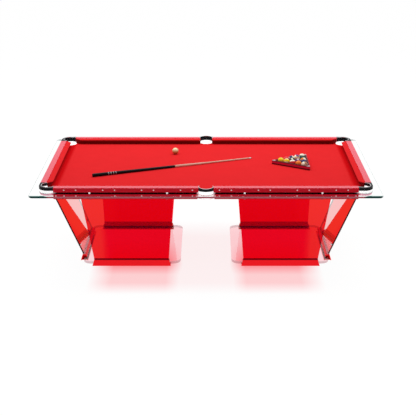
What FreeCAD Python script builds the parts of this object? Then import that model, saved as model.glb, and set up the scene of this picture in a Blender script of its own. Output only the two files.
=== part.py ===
import FreeCAD, Part
import math
import os

# Six-pocket pool table with a glass bed plate, two glass-panelled legs and its playing set.
# Millimetres. +X runs along the table to the right, +Y to the back, +Z up.
# The origin is on the floor, under the middle of the table.

# ---------------------------------------------------------------- driving dimensions

# Playing field, between the cushion noses
play_length = 2540.0
play_width = 1270.0
cushion_depth = 49.0
rail_width = 52.0

# Stack of heights, from the floor up
leg_height = 722.0
frame_bar_height = 32.0
glass_thickness = 15.0
standoff_height = 11.0
rail_height = 38.0
pad_thickness = 3.0
cloth_thickness = 2.0

# Bed plate
glass_overhang = 70.0
glass_corner_radius = 39.0
glass_edge_round = 3.0
bed_edge_gap = 5.0

# Rail strips
rail_edge_round = 6.0
rail_foot_round = 1.5

# Cushion section
nose_height = 37.5
crown_setback = 6.0
crown_rise = 3.2
chin_setback = 3.5
chin_drop = 6.0
cushion_step = 1.5
cushion_undercut = 20.0

# Pockets
pocket_radius = 57.5
corner_pocket_inset = 78.0
side_pocket_inset = 34.0
corner_mouth_cutback = 81.0
side_mouth_half = 62.0
corner_facing_angle = 38.0
side_facing_angle = 76.0
drop_edge_gap = 2.5

# Pocket brackets and their bright rims
bracket_height = 24.0
corner_bracket_length = 126.0
corner_bracket_width = 142.0
side_bracket_bulge = 29.0
bracket_edge_round = 4.0
rim_width = 3.5
rim_height = 1.5

# Pocket cups
cup_radius = 75.0
cup_wall = 3.0
cup_drop = 31.0
cup_bottom_round = 23.0
cup_glass_clearance = 1.5

# Under-frame
frame_bar_width = 58.0
frame_cup_clearance = 2.0

# Spacers and bolts between rail, glass and under-frame
bolt_pitch = 317.0
end_bolt_offset = 428.0
bolt_inset = 16.0
bolt_radius = 5.0
bolt_clearance = 0.2
bolt_glass_clearance = 1.5
bolt_rail_depth = 22.0
standoff_radius = 12.0
bolt_head_radius = 9.0
bolt_head_height = 6.0

# Button-head screws
screw_pair_half = 48.5
screw_head_radius = 5.5
screw_head_height = 2.8
screw_shank_radius = 2.5
screw_shank_length = 12.0
screw_clearance = 0.1
end_screw_inset = 12.0
corner_screw_inset = 20.0

# Legs
leg_offset = 648.5
plate_size = 850.0
plate_thickness = 23.0
plate_floor_gap = 8.0
plate_corner_radius = 68.0
plate_slot_clearance = 0.5
foot_length = 682.0
end_foot_length = 669.0
foot_base_width = 65.0
foot_top_width = 34.0
foot_height = 48.5
foot_wall = 8.0
foot_shelf = 4.0
foot_end_slant = 13.5

# Leg panels, whose tops lie a set distance in from the rails' outer faces, and their seats
panel_thickness = 12.0
panel_offset = 7.5
side_panel_inset = 33.5
end_panel_inset = 28.0
panel_spread = 54.0
side_panel_foot_half = 324.0
end_panel_foot_half = 308.0
seat_height = 10.0
seat_floor = 4.0
seat_width = 18.0
seat_clearance = 0.3

# Fixings of the end panels
stud_height = 132.0
stud_edge_inset = 23.0
stud_head_radius = 10.0
stud_head_thickness = 6.0
stud_shank_radius = 6.0
stud_hole_clearance = 0.5

# Playing set
ball_diameter = 57.15
ball_gap = 0.3
rest_gap = 0.3
rack_apex_x = 665.0
rack_centre_y = 36.0
rack_rows = 5
rack_clearance = 3.0
rack_wall = 12.0
rack_height = 34.0
rack_inner_radius = 20.0
rack_outer_radius = 8.0
cue_ball_x = -282.5
cue_ball_y = 328.5

# Cue, from its butt end
cue_length = 1474.0
cue_middle_x = -281.0
cue_middle_y = -68.5
cue_turn = 20.3
cue_joint = 743.0
cue_butt_radius = 14.2
cue_joint_radius = 10.4
cue_tip_radius = 6.5
cue_taper_length = 350.0
cue_butt_round = 3.0
cue_ring_places = (138.0, 160.0, 182.0, 204.0)
cue_ring_length = 7.0
cue_ring_depth = 1.0
cue_ring_clearance = 0.05
cue_tip_length = 26.0
cue_tip_dome = 3.0

# How far apart two places may be and still count as the same
same_place = 0.01

# ---------------------------------------------------------------- levels and outlines

glass_bottom = leg_height + frame_bar_height
glass_level = glass_bottom + glass_thickness
rail_bottom = glass_level + standoff_height
rail_top = rail_bottom + rail_height
bracket_bottom = rail_top - bracket_height
pad_level = glass_level + pad_thickness
bed_level = pad_level + cloth_thickness
nose_level = bed_level + nose_height

nose_x = play_length / 2
nose_y = play_width / 2
back_x = nose_x + cushion_depth
back_y = nose_y + cushion_depth
outer_x = back_x + rail_width
outer_y = back_y + rail_width

corner_x = outer_x - corner_pocket_inset
corner_y = outer_y - corner_pocket_inset
side_y = outer_y - side_pocket_inset
rail_end_x = outer_x - corner_bracket_length
rail_end_y = outer_y - corner_bracket_width

panel_level = foot_height + seat_floor
plate_half = plate_size / 2
panel_rise = leg_height - panel_level
side_panel_lean = (outer_y - side_panel_inset - plate_half - panel_offset) / panel_rise
end_panel_lean = (outer_x - end_panel_inset - leg_offset - plate_half - panel_offset) / panel_rise
panel_flare = panel_spread / panel_rise
ball_radius = ball_diameter / 2
ball_level = bed_level + rest_gap + ball_radius

# ---------------------------------------------------------------- helpers


def vec(x, y, z=0.0):
    return FreeCAD.Vector(x, y, z)


def polygon(points):
    """A closed wire through points given as vectors."""
    return Part.makePolygon(list(points) + [points[0]])


def prism(wire, direction):
    """The solid that a flat closed wire sweeps along a direction."""
    return Part.Face(wire).extrude(direction)


def block(low, high):
    size = high - low
    return Part.makeBox(size.x, size.y, size.z, low)


def upright(x, y, radius, low, high):
    """A vertical cylinder between two levels."""
    return Part.makeCylinder(radius, high - low, vec(x, y, low))


def turned_solid(wire, axis):
    """The solid of revolution of a flat wire about an axis through the origin."""
    solid = Part.Face(wire).revolve(vec(0, 0), axis, 360)
    return solid if solid.Volume > 0 else Part.Solid(solid.Shells[0].reversed())


def frustum(low_points, high_points):
    """A solid with flat faces between two polygons that have as many corners each."""
    rings = list(zip(low_points, low_points[1:] + low_points[:1],
                     high_points[1:] + high_points[:1], high_points))
    faces = [Part.Face(polygon(low_points)), Part.Face(polygon(high_points))]
    faces += [Part.Face(polygon(ring)) for ring in rings]
    return Part.makeSolid(Part.makeShell(faces))


def flip_x(shape):
    return shape.mirror(vec(0, 0), vec(1, 0))


def flip_y(shape):
    return shape.mirror(vec(0, 0), vec(0, 1))


def turned(shape, degrees):
    """A copy turned about the vertical through the origin."""
    copy = shape.copy()
    copy.rotate(vec(0, 0), vec(0, 0, 1), degrees)
    return copy


def near(value, target):
    return abs(value - target) < same_place


def edges_where(shape, test):
    """The edges whose ends all pass a test."""
    return [edge for edge in shape.Edges if all(test(v.Point) for v in edge.Vertexes)]


def upright_edges(shape):
    """The edges of a prism that run from its foot straight up."""
    return [edge for edge in shape.Edges if near(abs(edge.tangentAt(edge.FirstParameter).z), 1.0)]


def save(name, *solids):
    """Writes one node; several solids in one node stay separate."""
    shape = solids[0] if len(solids) == 1 else Part.makeCompound(list(solids))
    shape.exportStep(f"parts/{name}.step")


# What each pocket's name does to a shape made for the back right corner or the back middle
QUADRANTS = {
    "front_left": lambda shape: flip_y(flip_x(shape)),
    "front_right": flip_y,
    "back_left": flip_x,
    "back_right": lambda shape: shape.copy(),
}
SIDES = {"front_middle": flip_y, "back_middle": lambda shape: shape.copy()}

# The six pockets' centres in plan
POCKETS = [(sx * corner_x, sy * corner_y) for sx in (-1, 1) for sy in (-1, 1)]
POCKETS += [(0.0, sy * side_y) for sy in (-1, 1)]


def drill_pockets(shape, radius):
    """Cuts the six round pocket openings through a bed piece."""
    drills = [upright(x, y, radius, leg_height, rail_top + rim_height) for x, y in POCKETS]
    return shape.cut(Part.makeCompound(drills))


# ---------------------------------------------------------------- fasteners' places

def bolt_places():
    """Plan positions of the spacer bolts: two on each half long rail, two on each end rail."""
    y = outer_y - bolt_inset
    x = outer_x - bolt_inset
    along = [(sx * n * bolt_pitch, sy * y) for n in (1, 3) for sx in (-1, 1) for sy in (-1, 1)]
    across = [(sx * x, sy * end_bolt_offset) for sx in (-1, 1) for sy in (-1, 1)]
    return along + across


def bay_pair(bay):
    """The two screws either side of the middle of a bolt bay, counted from the table's middle."""
    middle = (bay + 0.5) * bolt_pitch
    return [middle - screw_pair_half, middle + screw_pair_half]


def rail_screw_places():
    return bay_pair(0) + bay_pair(1) + bay_pair(2) + bay_pair(3)


def frame_screw_places():
    """The bars' screws: one at each end, a pair in the outer bays and one in each inner bay."""
    bar_start = side_mouth_half + end_screw_inset + cup_wall
    bar_end = rail_end_x - corner_screw_inset
    inner = [bay_pair(1)[1], bay_pair(2)[0]]
    return [bar_start] + bay_pair(0) + inner + bay_pair(3) + [bar_end]


def end_screw_places():
    """Across an end rail: a pair in the middle and one by each corner."""
    by_corner = rail_end_y - corner_screw_inset
    return [-by_corner, -screw_pair_half, screw_pair_half, by_corner]


def screw(clearance=0.0):
    """A button-head screw along +X: its head's seat is at the origin and its shank goes to -X.
    With a clearance it is only the shank's hole."""
    if clearance:
        return Part.makeCylinder(screw_shank_radius + clearance, screw_shank_length + clearance,
                                 vec(0, 0), vec(-1, 0))
    r = screw_head_radius
    h = screw_head_height
    dome_radius = (r * r + h * h) / (2 * h)
    half_way = math.asin(r / dome_radius) / 2
    crest = vec(h - dome_radius + dome_radius * math.cos(half_way), dome_radius * math.sin(half_way))
    dome = Part.Arc(vec(0, r), crest, vec(h, 0)).toShape()
    outline = Part.Wire([
        dome,
        Part.makeLine(vec(h, 0), vec(-screw_shank_length, 0)),
        Part.makeLine(vec(-screw_shank_length, 0), vec(-screw_shank_length, screw_shank_radius)),
        Part.makeLine(vec(-screw_shank_length, screw_shank_radius), vec(0, screw_shank_radius)),
        Part.makeLine(vec(0, screw_shank_radius), vec(0, r)),
    ])
    return turned_solid(outline, vec(1, 0))


def screws_on(level, along, across, clearance=0.0):
    """Screws at one level in the four outer faces: along the long sides, across the ends."""
    placed = []
    for x in along:
        for sx in (-1, 1):
            for turn in (-90, 90):
                one = turned(screw(clearance), turn)
                one.translate(vec(sx * x, math.copysign(outer_y, turn), level))
                placed.append(one)
    for y in across:
        for turn in (0, 180):
            one = turned(screw(clearance), turn)
            one.translate(vec(outer_x if turn == 0 else -outer_x, y, level))
            placed.append(one)
    return placed


rail_screw_level = rail_bottom + rail_height / 2
frame_screw_level = leg_height + frame_bar_height / 2
rail_screw_holes = Part.makeCompound(screws_on(
    rail_screw_level, rail_screw_places(), end_screw_places(), screw_clearance))
frame_screw_holes = Part.makeCompound(screws_on(
    frame_screw_level, frame_screw_places(), end_screw_places(), screw_clearance))
bolt_holes = Part.makeCompound([
    upright(x, y, bolt_radius + bolt_clearance, leg_height, rail_bottom + bolt_rail_depth)
    for x, y in bolt_places()])


# ---------------------------------------------------------------- bed

def build_glass_top():
    """The clear bed plate: rounded corners, polished edges, pocket holes and bolt holes."""
    half_x = outer_x + glass_overhang
    half_y = outer_y + glass_overhang
    plate = block(vec(-half_x, -half_y, glass_bottom), vec(half_x, half_y, glass_level))
    plate = plate.makeFillet(glass_corner_radius, upright_edges(plate))
    rims = [edge for edge in plate.Edges if edge not in upright_edges(plate)]
    plate = plate.makeFillet(glass_edge_round, rims)
    plate = drill_pockets(plate, cup_radius + cup_glass_clearance)
    bolts = [upright(x, y, bolt_radius + bolt_glass_clearance, glass_bottom, glass_level)
             for x, y in bolt_places()]
    save("glass_top", plate.cut(Part.makeCompound(bolts)))


def build_bed():
    """The pad and the cloth on it, both cut away at the pockets' drop edges."""
    half_x = back_x - bed_edge_gap
    half_y = back_y - bed_edge_gap
    for name, low, high in (("bed_pad", glass_level, pad_level), ("bed_cloth", pad_level, bed_level)):
        layer = block(vec(-half_x, -half_y, low), vec(half_x, half_y, high))
        save(name, drill_pockets(layer, pocket_radius + drop_edge_gap))


# ---------------------------------------------------------------- rails and cushions

def rail_strip(half_length):
    """A strip along X with its outer face at y = rail_width, rounded along its outer edges."""
    strip = block(vec(-half_length, 0, rail_bottom), vec(half_length, rail_width, rail_top))
    outer_edge = edges_where(strip, lambda p: near(p.y, rail_width) and near(p.z, rail_top))
    strip = strip.makeFillet(rail_edge_round, outer_edge)
    low_edge = edges_where(strip, lambda p: near(p.y, rail_width) and near(p.z, rail_bottom))
    return strip.makeFillet(rail_foot_round, low_edge)


def build_rails():
    """Four strips on the long sides and two on the ends, cut clear of the pockets and drilled."""
    half = (rail_end_x - side_mouth_half) / 2
    long_rail = rail_strip(half)
    long_rail.translate(vec(side_mouth_half + half, back_y))
    for name, place in QUADRANTS.items():
        rail = drill_pockets(place(long_rail), pocket_radius)
        save(f"rail_{name}", rail.cut(rail_screw_holes).cut(bolt_holes))
    end_rail = turned(rail_strip(rail_end_y), -90)
    end_rail.translate(vec(back_x, 0))
    for name, rail in (("rail_right", end_rail), ("rail_left", flip_x(end_rail))):
        save(name, rail.cut(rail_screw_holes).cut(bolt_holes))


def cushion_bar(start, end, start_angle, end_angle):
    """A cushion along X with its back at y = 0 and its nose at y = -cushion_depth.
    Its nose runs from start to end, and each end is cut at its pocket's facing angle."""
    nose = -cushion_depth
    top = rail_top - cushion_step
    crown = vec(0, nose + crown_setback, nose_level + crown_rise)
    chin = vec(0, nose + chin_setback, nose_level - chin_drop)
    toe = vec(0, nose + cushion_undercut, bed_level)
    section = Part.Wire([
        Part.makeLine(vec(0, 0, bed_level), vec(0, 0, top)),
        Part.makeLine(vec(0, 0, top), crown),
        Part.Arc(crown, vec(0, nose, nose_level), chin).toShape(),
        Part.makeLine(chin, toe),
        Part.makeLine(toe, vec(0, 0, bed_level)),
    ])
    start_back = start - cushion_depth / math.tan(math.radians(start_angle))
    end_back = end + cushion_depth / math.tan(math.radians(end_angle))
    bar = prism(section, vec(end_back - start_back, 0))
    bar.translate(vec(start_back, 0))
    plan = polygon([vec(start, nose, bed_level), vec(end, nose, bed_level),
                    vec(end_back, 0, bed_level), vec(start_back, 0, bed_level)])
    return bar.common(prism(plan, vec(0, 0, rail_height + standoff_height)))


def build_cushions():
    """Each cushion stops where its facing meets the pocket opening and its bracket."""
    corner = Part.makeCompound(list(corner_blocks()))
    long_cushion = cushion_bar(side_mouth_half, nose_x - corner_mouth_cutback,
                               side_facing_angle, corner_facing_angle)
    long_cushion.translate(vec(0, back_y))
    long_cushion = drill_pockets(long_cushion, pocket_radius).cut(corner)
    for name, place in QUADRANTS.items():
        save(f"cushion_{name}", place(long_cushion))
    reach = nose_y - corner_mouth_cutback
    end_cushion = turned(cushion_bar(-reach, reach, corner_facing_angle, corner_facing_angle), -90)
    end_cushion.translate(vec(back_x, 0))
    end_cushion = drill_pockets(end_cushion, pocket_radius).cut(corner).cut(flip_y(corner))
    save("cushion_right", end_cushion)
    save("cushion_left", flip_x(end_cushion))


# ---------------------------------------------------------------- pockets

def bored_corner(plan, centre):
    """A block of rail height on a plan outline, its top outer edge rounded and bored for the ball.
    Gives its black upper part, the bracket, and its bright lower part, the cup's collar."""
    body = prism(plan, vec(0, 0, rail_height))
    top_face = max(body.Faces, key=lambda face: face.CenterOfMass.z)
    outside = [e for e in top_face.Edges
               if e.CenterOfMass.y > outer_y - 1 or e.CenterOfMass.x > outer_x - corner_pocket_inset / 2]
    body = body.makeFillet(bracket_edge_round, outside)
    body = body.cut(upright(*centre, pocket_radius, rail_bottom, rail_top))
    lower = block(vec(-outer_x, 0, rail_bottom),
                  vec(outer_x, outer_y + side_bracket_bulge, bracket_bottom))
    return body.cut(lower), body.common(lower)


def corner_blocks():
    """Bracket and collar of a corner pocket: they fill the corner between two rails."""
    z = rail_bottom
    r = corner_pocket_inset
    arc_middle = vec(corner_x + r * math.cos(math.pi / 4), corner_y + r * math.sin(math.pi / 4), z)
    start = vec(corner_x, outer_y, z)
    end = vec(outer_x, corner_y, z)
    plan = Part.Wire([
        Part.makeLine(vec(rail_end_x, back_y, z), vec(rail_end_x, outer_y, z)),
        Part.makeLine(vec(rail_end_x, outer_y, z), start),
        Part.Arc(start, arc_middle, end).toShape(),
        Part.makeLine(end, vec(outer_x, rail_end_y, z)),
        Part.makeLine(vec(outer_x, rail_end_y, z), vec(back_x, rail_end_y, z)),
        Part.makeLine(vec(back_x, rail_end_y, z), vec(rail_end_x, back_y, z)),
    ])
    return bored_corner(plan, (corner_x, corner_y))


def side_blocks():
    """Bracket and collar of a side pocket: they fill the gap between two rails and bulge outward."""
    z = rail_bottom
    w = side_mouth_half
    left = vec(-w, outer_y, z)
    right = vec(w, outer_y, z)
    plan = Part.Wire([
        Part.makeLine(vec(-w, back_y, z), left),
        Part.Arc(left, vec(0, outer_y + side_bracket_bulge, z), right).toShape(),
        Part.makeLine(right, vec(w, back_y, z)),
        Part.makeLine(vec(w, back_y, z), vec(-w, back_y, z)),
    ])
    return bored_corner(plan, (0.0, side_y))


def rim_on(bracket, centre):
    """The bright strip round the top of a bracket's opening, as long as the bracket's own edge."""
    ring = upright(*centre, pocket_radius + rim_width, rail_top, rail_top + rim_height)
    ring = ring.cut(upright(*centre, pocket_radius, rail_top, rail_top + rim_height))
    lifted = bracket.copy()
    lifted.translate(vec(0, 0, bracket_height / 2))
    return ring.common(lifted)


def pocket_cup(centre, collar):
    """A cup that hangs by a shoulder from its collar: round wall, flange under the bed's drop edge,
    round-edged floor. Above the glass its wall is cut away where the bed comes in."""
    floor = glass_bottom - cup_drop
    r = cup_radius
    k = cup_bottom_round
    t = cup_wall
    bend = math.sqrt(0.5)
    outside = Part.Arc(vec(r, 0, floor + k), vec(r - k + k * bend, 0, floor + k - k * bend),
                       vec(r - k, 0, floor)).toShape()
    q = k - t
    inside = Part.Arc(vec(r - k, 0, floor + t), vec(r - k + q * bend, 0, floor + k - q * bend),
                      vec(r - t, 0, floor + k)).toShape()
    flange_edge = pocket_radius + drop_edge_gap
    shoulder = rail_bottom - t
    profile = Part.Wire([
        Part.makeLine(vec(r, 0, rail_bottom), vec(r, 0, floor + k)),
        outside,
        Part.makeLine(vec(r - k, 0, floor), vec(0, 0, floor)),
        Part.makeLine(vec(0, 0, floor), vec(0, 0, floor + t)),
        Part.makeLine(vec(0, 0, floor + t), vec(r - k, 0, floor + t)),
        inside,
        Part.makeLine(vec(r - t, 0, floor + k), vec(r - t, 0, glass_level - t)),
        Part.makeLine(vec(r - t, 0, glass_level - t), vec(flange_edge, 0, glass_level - t)),
        Part.makeLine(vec(flange_edge, 0, glass_level - t), vec(flange_edge, 0, glass_level)),
        Part.makeLine(vec(flange_edge, 0, glass_level), vec(r - t, 0, glass_level)),
        Part.makeLine(vec(r - t, 0, glass_level), vec(r - t, 0, shoulder)),
        Part.makeLine(vec(r - t, 0, shoulder), vec(pocket_radius, 0, shoulder)),
        Part.makeLine(vec(pocket_radius, 0, shoulder), vec(pocket_radius, 0, rail_bottom)),
        Part.makeLine(vec(pocket_radius, 0, rail_bottom), vec(r, 0, rail_bottom)),
    ])
    cup = turned_solid(profile, vec(0, 0, 1))
    cup.translate(vec(*centre))
    cup = cup.cut(block(vec(-back_x, -back_y, glass_level), vec(back_x, back_y, rail_top)))
    return cup.fuse(collar).removeSplitter()


def build_pockets():
    """Six pockets, four at the corners and two in the middle of the long sides. Each has a
    bracket with a rim, and a cup."""
    rims = []
    kinds = ((corner_blocks(), (corner_x, corner_y), QUADRANTS), (side_blocks(), (0.0, side_y), SIDES))
    for (bracket, collar), centre, places in kinds:
        cup = pocket_cup(centre, collar)
        rim = rim_on(bracket, centre)
        for name, place in places.items():
            save(f"pocket_bracket_{name}", place(bracket))
            save(f"pocket_cup_{name}", place(cup))
            rims += place(rim).Solids
    save("pocket_rims", *rims)


# ---------------------------------------------------------------- under-frame and fasteners

def build_underframe():
    """Bars under the glass, flush with the rails' outer faces and cut clear of the cups."""
    w = frame_bar_width
    front = block(vec(-rail_end_x, -outer_y, leg_height), vec(rail_end_x, -outer_y + w, glass_bottom))
    right = block(vec(outer_x - w, -rail_end_y, leg_height), vec(outer_x, rail_end_y, glass_bottom))
    bars = {"front": front, "back": flip_y(front), "right": right, "left": flip_x(right)}
    for name, bar in bars.items():
        bar = drill_pockets(bar, cup_radius + frame_cup_clearance)
        save(f"underframe_{name}", *bar.cut(frame_screw_holes).cut(bolt_holes).Solids)


def build_fasteners():
    """Spacers between rail and glass, the bolts through them and the button-head screws."""
    spacers = []
    bolts = []
    for x, y in bolt_places():
        tube = upright(x, y, standoff_radius, glass_level, rail_bottom)
        spacers.append(tube.cut(upright(x, y, bolt_radius + bolt_clearance, glass_level, rail_bottom)))
        shank = upright(x, y, bolt_radius, leg_height, rail_bottom + bolt_rail_depth)
        head = upright(x, y, bolt_head_radius, leg_height - bolt_head_height, leg_height)
        bolts.append(shank.fuse(head).removeSplitter())
    save("rail_standoffs", *spacers)
    save("through_bolts", *bolts)
    rail_row = screws_on(rail_screw_level, rail_screw_places(), end_screw_places())
    frame_row = screws_on(frame_screw_level, frame_screw_places(), end_screw_places())
    save("button_screws", *rail_row, *frame_row)


# ---------------------------------------------------------------- legs

def base_plate():
    """The square glass plate of the right leg, with round corners."""
    low = vec(leg_offset - plate_half, -plate_half, plate_floor_gap)
    plate = block(low, low + vec(plate_size, plate_size, plate_thickness))
    return plate.makeFillet(plate_corner_radius, upright_edges(plate))


def foot_channel(length):
    """A hollow foot along X over y = 0: an upturned V with a flat top, slanted ends and, inside,
    a shelf that carries the plate's edge. It is open below the shelf and at both ends."""
    base = foot_base_width / 2
    slope = (foot_base_width - foot_top_width) / 2 / foot_height
    half = length / 2

    def channel(inset, low, high):
        """A bar of the foot's section between two levels, its sides moved inwards."""
        wall = inset * math.hypot(1, slope)
        low_half = base - slope * low - wall
        high_half = base - slope * high - wall
        section = polygon([vec(-half, -low_half, low), vec(-half, low_half, low),
                           vec(-half, high_half, high), vec(-half, -high_half, high)])
        return prism(section, vec(length, 0))

    shelf_top = plate_floor_gap - plate_slot_clearance
    bar = channel(0.0, 0.0, foot_height)
    bar = bar.cut(channel(foot_wall, 0.0, shelf_top - foot_shelf))
    bar = bar.cut(channel(foot_wall, shelf_top, foot_height - foot_wall))
    ends = polygon([vec(-half, -base, 0), vec(half, -base, 0),
                    vec(half - foot_end_slant, -base, foot_height),
                    vec(-half + foot_end_slant, -base, foot_height)])
    return bar.common(prism(ends, vec(0, foot_base_width)))


def panel_slab(foot_half, lean, low, high, thickness):
    """A panel that stands on y = panel_offset and leans towards +Y, wider upwards, with flat top
    and bottom."""
    across = thickness * math.hypot(1, lean) / 2
    rings = []
    for level in (low, high):
        rise = level - panel_level
        y = panel_offset + lean * rise
        w = foot_half + panel_flare * rise
        rings.append([vec(-w, y - across, level), vec(w, y - across, level),
                      vec(w, y + across, level), vec(-w, y + across, level)])
    return frustum(*rings)


def panel_seat(foot_half, lean):
    """The strip between a foot and its panel: a leaning bar with the panel's slot in it."""
    slot = panel_slab(foot_half * 2, lean, panel_level, foot_height + 2 * seat_height,
                      panel_thickness + 2 * seat_clearance)
    bar = panel_slab(foot_half, lean, foot_height, foot_height + seat_height, seat_width)
    return bar.cut(slot)


def on_panel_edge(shape, side):
    """Moves a shape made along Y at the origin to a stud's place in the leaning end panel."""
    rise = stud_height - panel_level
    across = end_panel_foot_half + panel_flare * rise - stud_edge_inset
    shape.rotate(vec(0, 0), vec(1, 0), -math.degrees(math.atan(end_panel_lean)))
    shape.translate(vec(side * across, panel_offset + end_panel_lean * rise, stud_height))
    return shape


def panel_stud(side):
    """A through fixing near one edge of the end panel: a disc on each face and a shank between."""
    half = panel_thickness / 2 + stud_head_thickness
    stud = Part.makeCylinder(stud_shank_radius, 2 * half, vec(0, -half, 0), vec(0, 1, 0))
    for start in (-half, half - stud_head_thickness):
        stud = stud.fuse(Part.makeCylinder(stud_head_radius, stud_head_thickness,
                                           vec(0, start, 0), vec(0, 1, 0)))
    return on_panel_edge(stud.removeSplitter(), side)


def stud_hole(side):
    """The clearance hole for a panel stud."""
    hole = Part.makeCylinder(stud_shank_radius + stud_hole_clearance, 2 * panel_thickness,
                             vec(0, -panel_thickness, 0), vec(0, 1, 0))
    return on_panel_edge(hole, side)


def build_legs():
    """Two legs, mirror images: a base plate, a foot along three of its edges and a panel on each."""
    plate = base_plate()
    reach = plate_half + plate_slot_clearance
    slot_top = plate_floor_gap + plate_thickness + plate_slot_clearance
    slot = block(vec(leg_offset - reach, -reach, plate_floor_gap - plate_slot_clearance),
                 vec(leg_offset + reach, reach, slot_top))
    edges = {"back": 0, "outer": -90, "front": 180}
    lengths = {"back": foot_length, "outer": end_foot_length, "front": foot_length}

    def placed(shape, edge):
        one = shape.copy()
        one.translate(vec(0, plate_half))
        one = turned(one, edges[edge])
        one.translate(vec(leg_offset, 0))
        return one

    feet = {edge: placed(foot_channel(lengths[edge]), edge).cut(slot) for edge in edges}
    side_panel = panel_slab(side_panel_foot_half, side_panel_lean, panel_level, leg_height,
                            panel_thickness)
    end_panel = panel_slab(end_panel_foot_half, end_panel_lean, panel_level, leg_height,
                           panel_thickness)
    end_panel = end_panel.cut(stud_hole(-1)).cut(stud_hole(1))
    side_seat = panel_seat(side_panel_foot_half, side_panel_lean)
    end_seat = panel_seat(end_panel_foot_half, end_panel_lean)
    seats = [placed(side_seat, "back"), placed(side_seat, "front"), placed(end_seat, "outer")]
    studs = [placed(panel_stud(side), "outer") for side in (-1, 1)]
    for leg, place in (("right", lambda shape: shape.copy()), ("left", flip_x)):
        save(f"base_plate_{leg}", place(plate))
        for edge, foot in feet.items():
            save(f"foot_{leg}_{edge}", place(foot))
        for edge in ("front", "back"):
            save(f"leg_panel_{leg}_{edge}", place(placed(side_panel, edge)))
        save(f"end_panel_{leg}", place(placed(end_panel, "outer")))
    save("panel_seats", *seats, *[flip_x(seat) for seat in seats])
    save("panel_studs", *studs, *[flip_x(stud) for stud in studs])


# ---------------------------------------------------------------- playing set

def rack_frame():
    """A three-sided frame round the balls, thicker at its corners, where the inside is rounder."""
    row_step = (ball_diameter + ball_gap) * math.sqrt(3) / 2
    centre_x = rack_apex_x + row_step * (rack_rows - 1) * 2 / 3
    inner = row_step * (rack_rows - 1) / 3 + ball_radius + rack_clearance
    low = bed_level + rest_gap

    def triangle(inradius, radius):
        corners = [vec(centre_x + 2 * inradius * math.cos(math.radians(a)),
                       rack_centre_y + 2 * inradius * math.sin(math.radians(a)), low)
                   for a in (60, 180, 300)]
        body = prism(polygon(corners), vec(0, 0, rack_height))
        return body.makeFillet(radius, upright_edges(body))

    outside = triangle(inner + rack_wall, rack_outer_radius)
    return outside.cut(triangle(inner, rack_inner_radius))


def build_balls():
    """Fifteen racked balls in five rows, the frame round them, and the cue ball."""
    step = ball_diameter + ball_gap
    balls = []
    for row in range(rack_rows):
        for place in range(row + 1):
            x = rack_apex_x + row * step * math.sqrt(3) / 2
            y = rack_centre_y + (place - row / 2) * step
            balls.append(Part.makeSphere(ball_radius, vec(x, y, ball_level)))
    save("object_balls", *balls)
    save("cue_ball", Part.makeSphere(ball_radius, vec(cue_ball_x, cue_ball_y, ball_level)))
    save("rack", rack_frame())


def cue_piece(profile):
    """A turned piece of the cue from (length, radius) points, laid on the cloth where the cue lies."""
    piece = turned_solid(polygon([vec(s, r) for s, r in profile]), vec(1, 0))
    dip = math.degrees(math.atan((cue_butt_radius - cue_tip_radius) / cue_length))
    piece.translate(vec(-cue_length / 2, 0))
    piece.rotate(vec(0, 0), vec(0, 1, 0), dip)
    piece.rotate(vec(0, 0), vec(0, 0, 1), cue_turn)
    axis_level = bed_level + rest_gap + (cue_butt_radius + cue_tip_radius) / 2
    piece.translate(vec(cue_middle_x, cue_middle_y, axis_level))
    return piece


def butt_radius_at(s):
    return cue_butt_radius - (cue_butt_radius - cue_joint_radius) * s / cue_joint


def build_cue():
    """The butt with its inlaid rings, the shaft and the ferrule with its tip."""
    outline = [(0, 0), (0, cue_butt_radius - cue_butt_round), (cue_butt_round, cue_butt_radius)]
    rings = []
    for start in cue_ring_places:
        end = start + cue_ring_length
        low = butt_radius_at(end) - cue_ring_depth
        outline += [(start, butt_radius_at(start)), (start, low), (end, low), (end, butt_radius_at(end))]
        hole = low + cue_ring_clearance
        rings.append(cue_piece([(start, hole), (start, butt_radius_at(start)),
                                (end, butt_radius_at(end)), (end, hole)]))
    outline += [(cue_joint, cue_joint_radius), (cue_joint, 0)]
    save("cue_butt", cue_piece(outline))
    save("cue_rings", *rings)
    ferrule = cue_length - cue_tip_length
    save("cue_shaft", cue_piece([(cue_joint, 0), (cue_joint, cue_joint_radius),
                                 (ferrule - cue_taper_length, cue_tip_radius),
                                 (ferrule, cue_tip_radius), (ferrule, 0)]))
    save("cue_tip", cue_piece([(ferrule, 0), (ferrule, cue_tip_radius),
                               (cue_length - cue_tip_dome, cue_tip_radius),
                               (cue_length, cue_tip_radius / 2), (cue_length, 0)]))


# ---------------------------------------------------------------- the whole table

os.makedirs("parts", exist_ok=True)
build_glass_top()
build_bed()
build_rails()
build_cushions()
build_pockets()
build_underframe()
build_fasteners()
build_legs()
build_balls()
build_cue()
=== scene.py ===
"""Finishes and shapes a glass-bed pocket pool table round its packed construction model."""
import math

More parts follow.
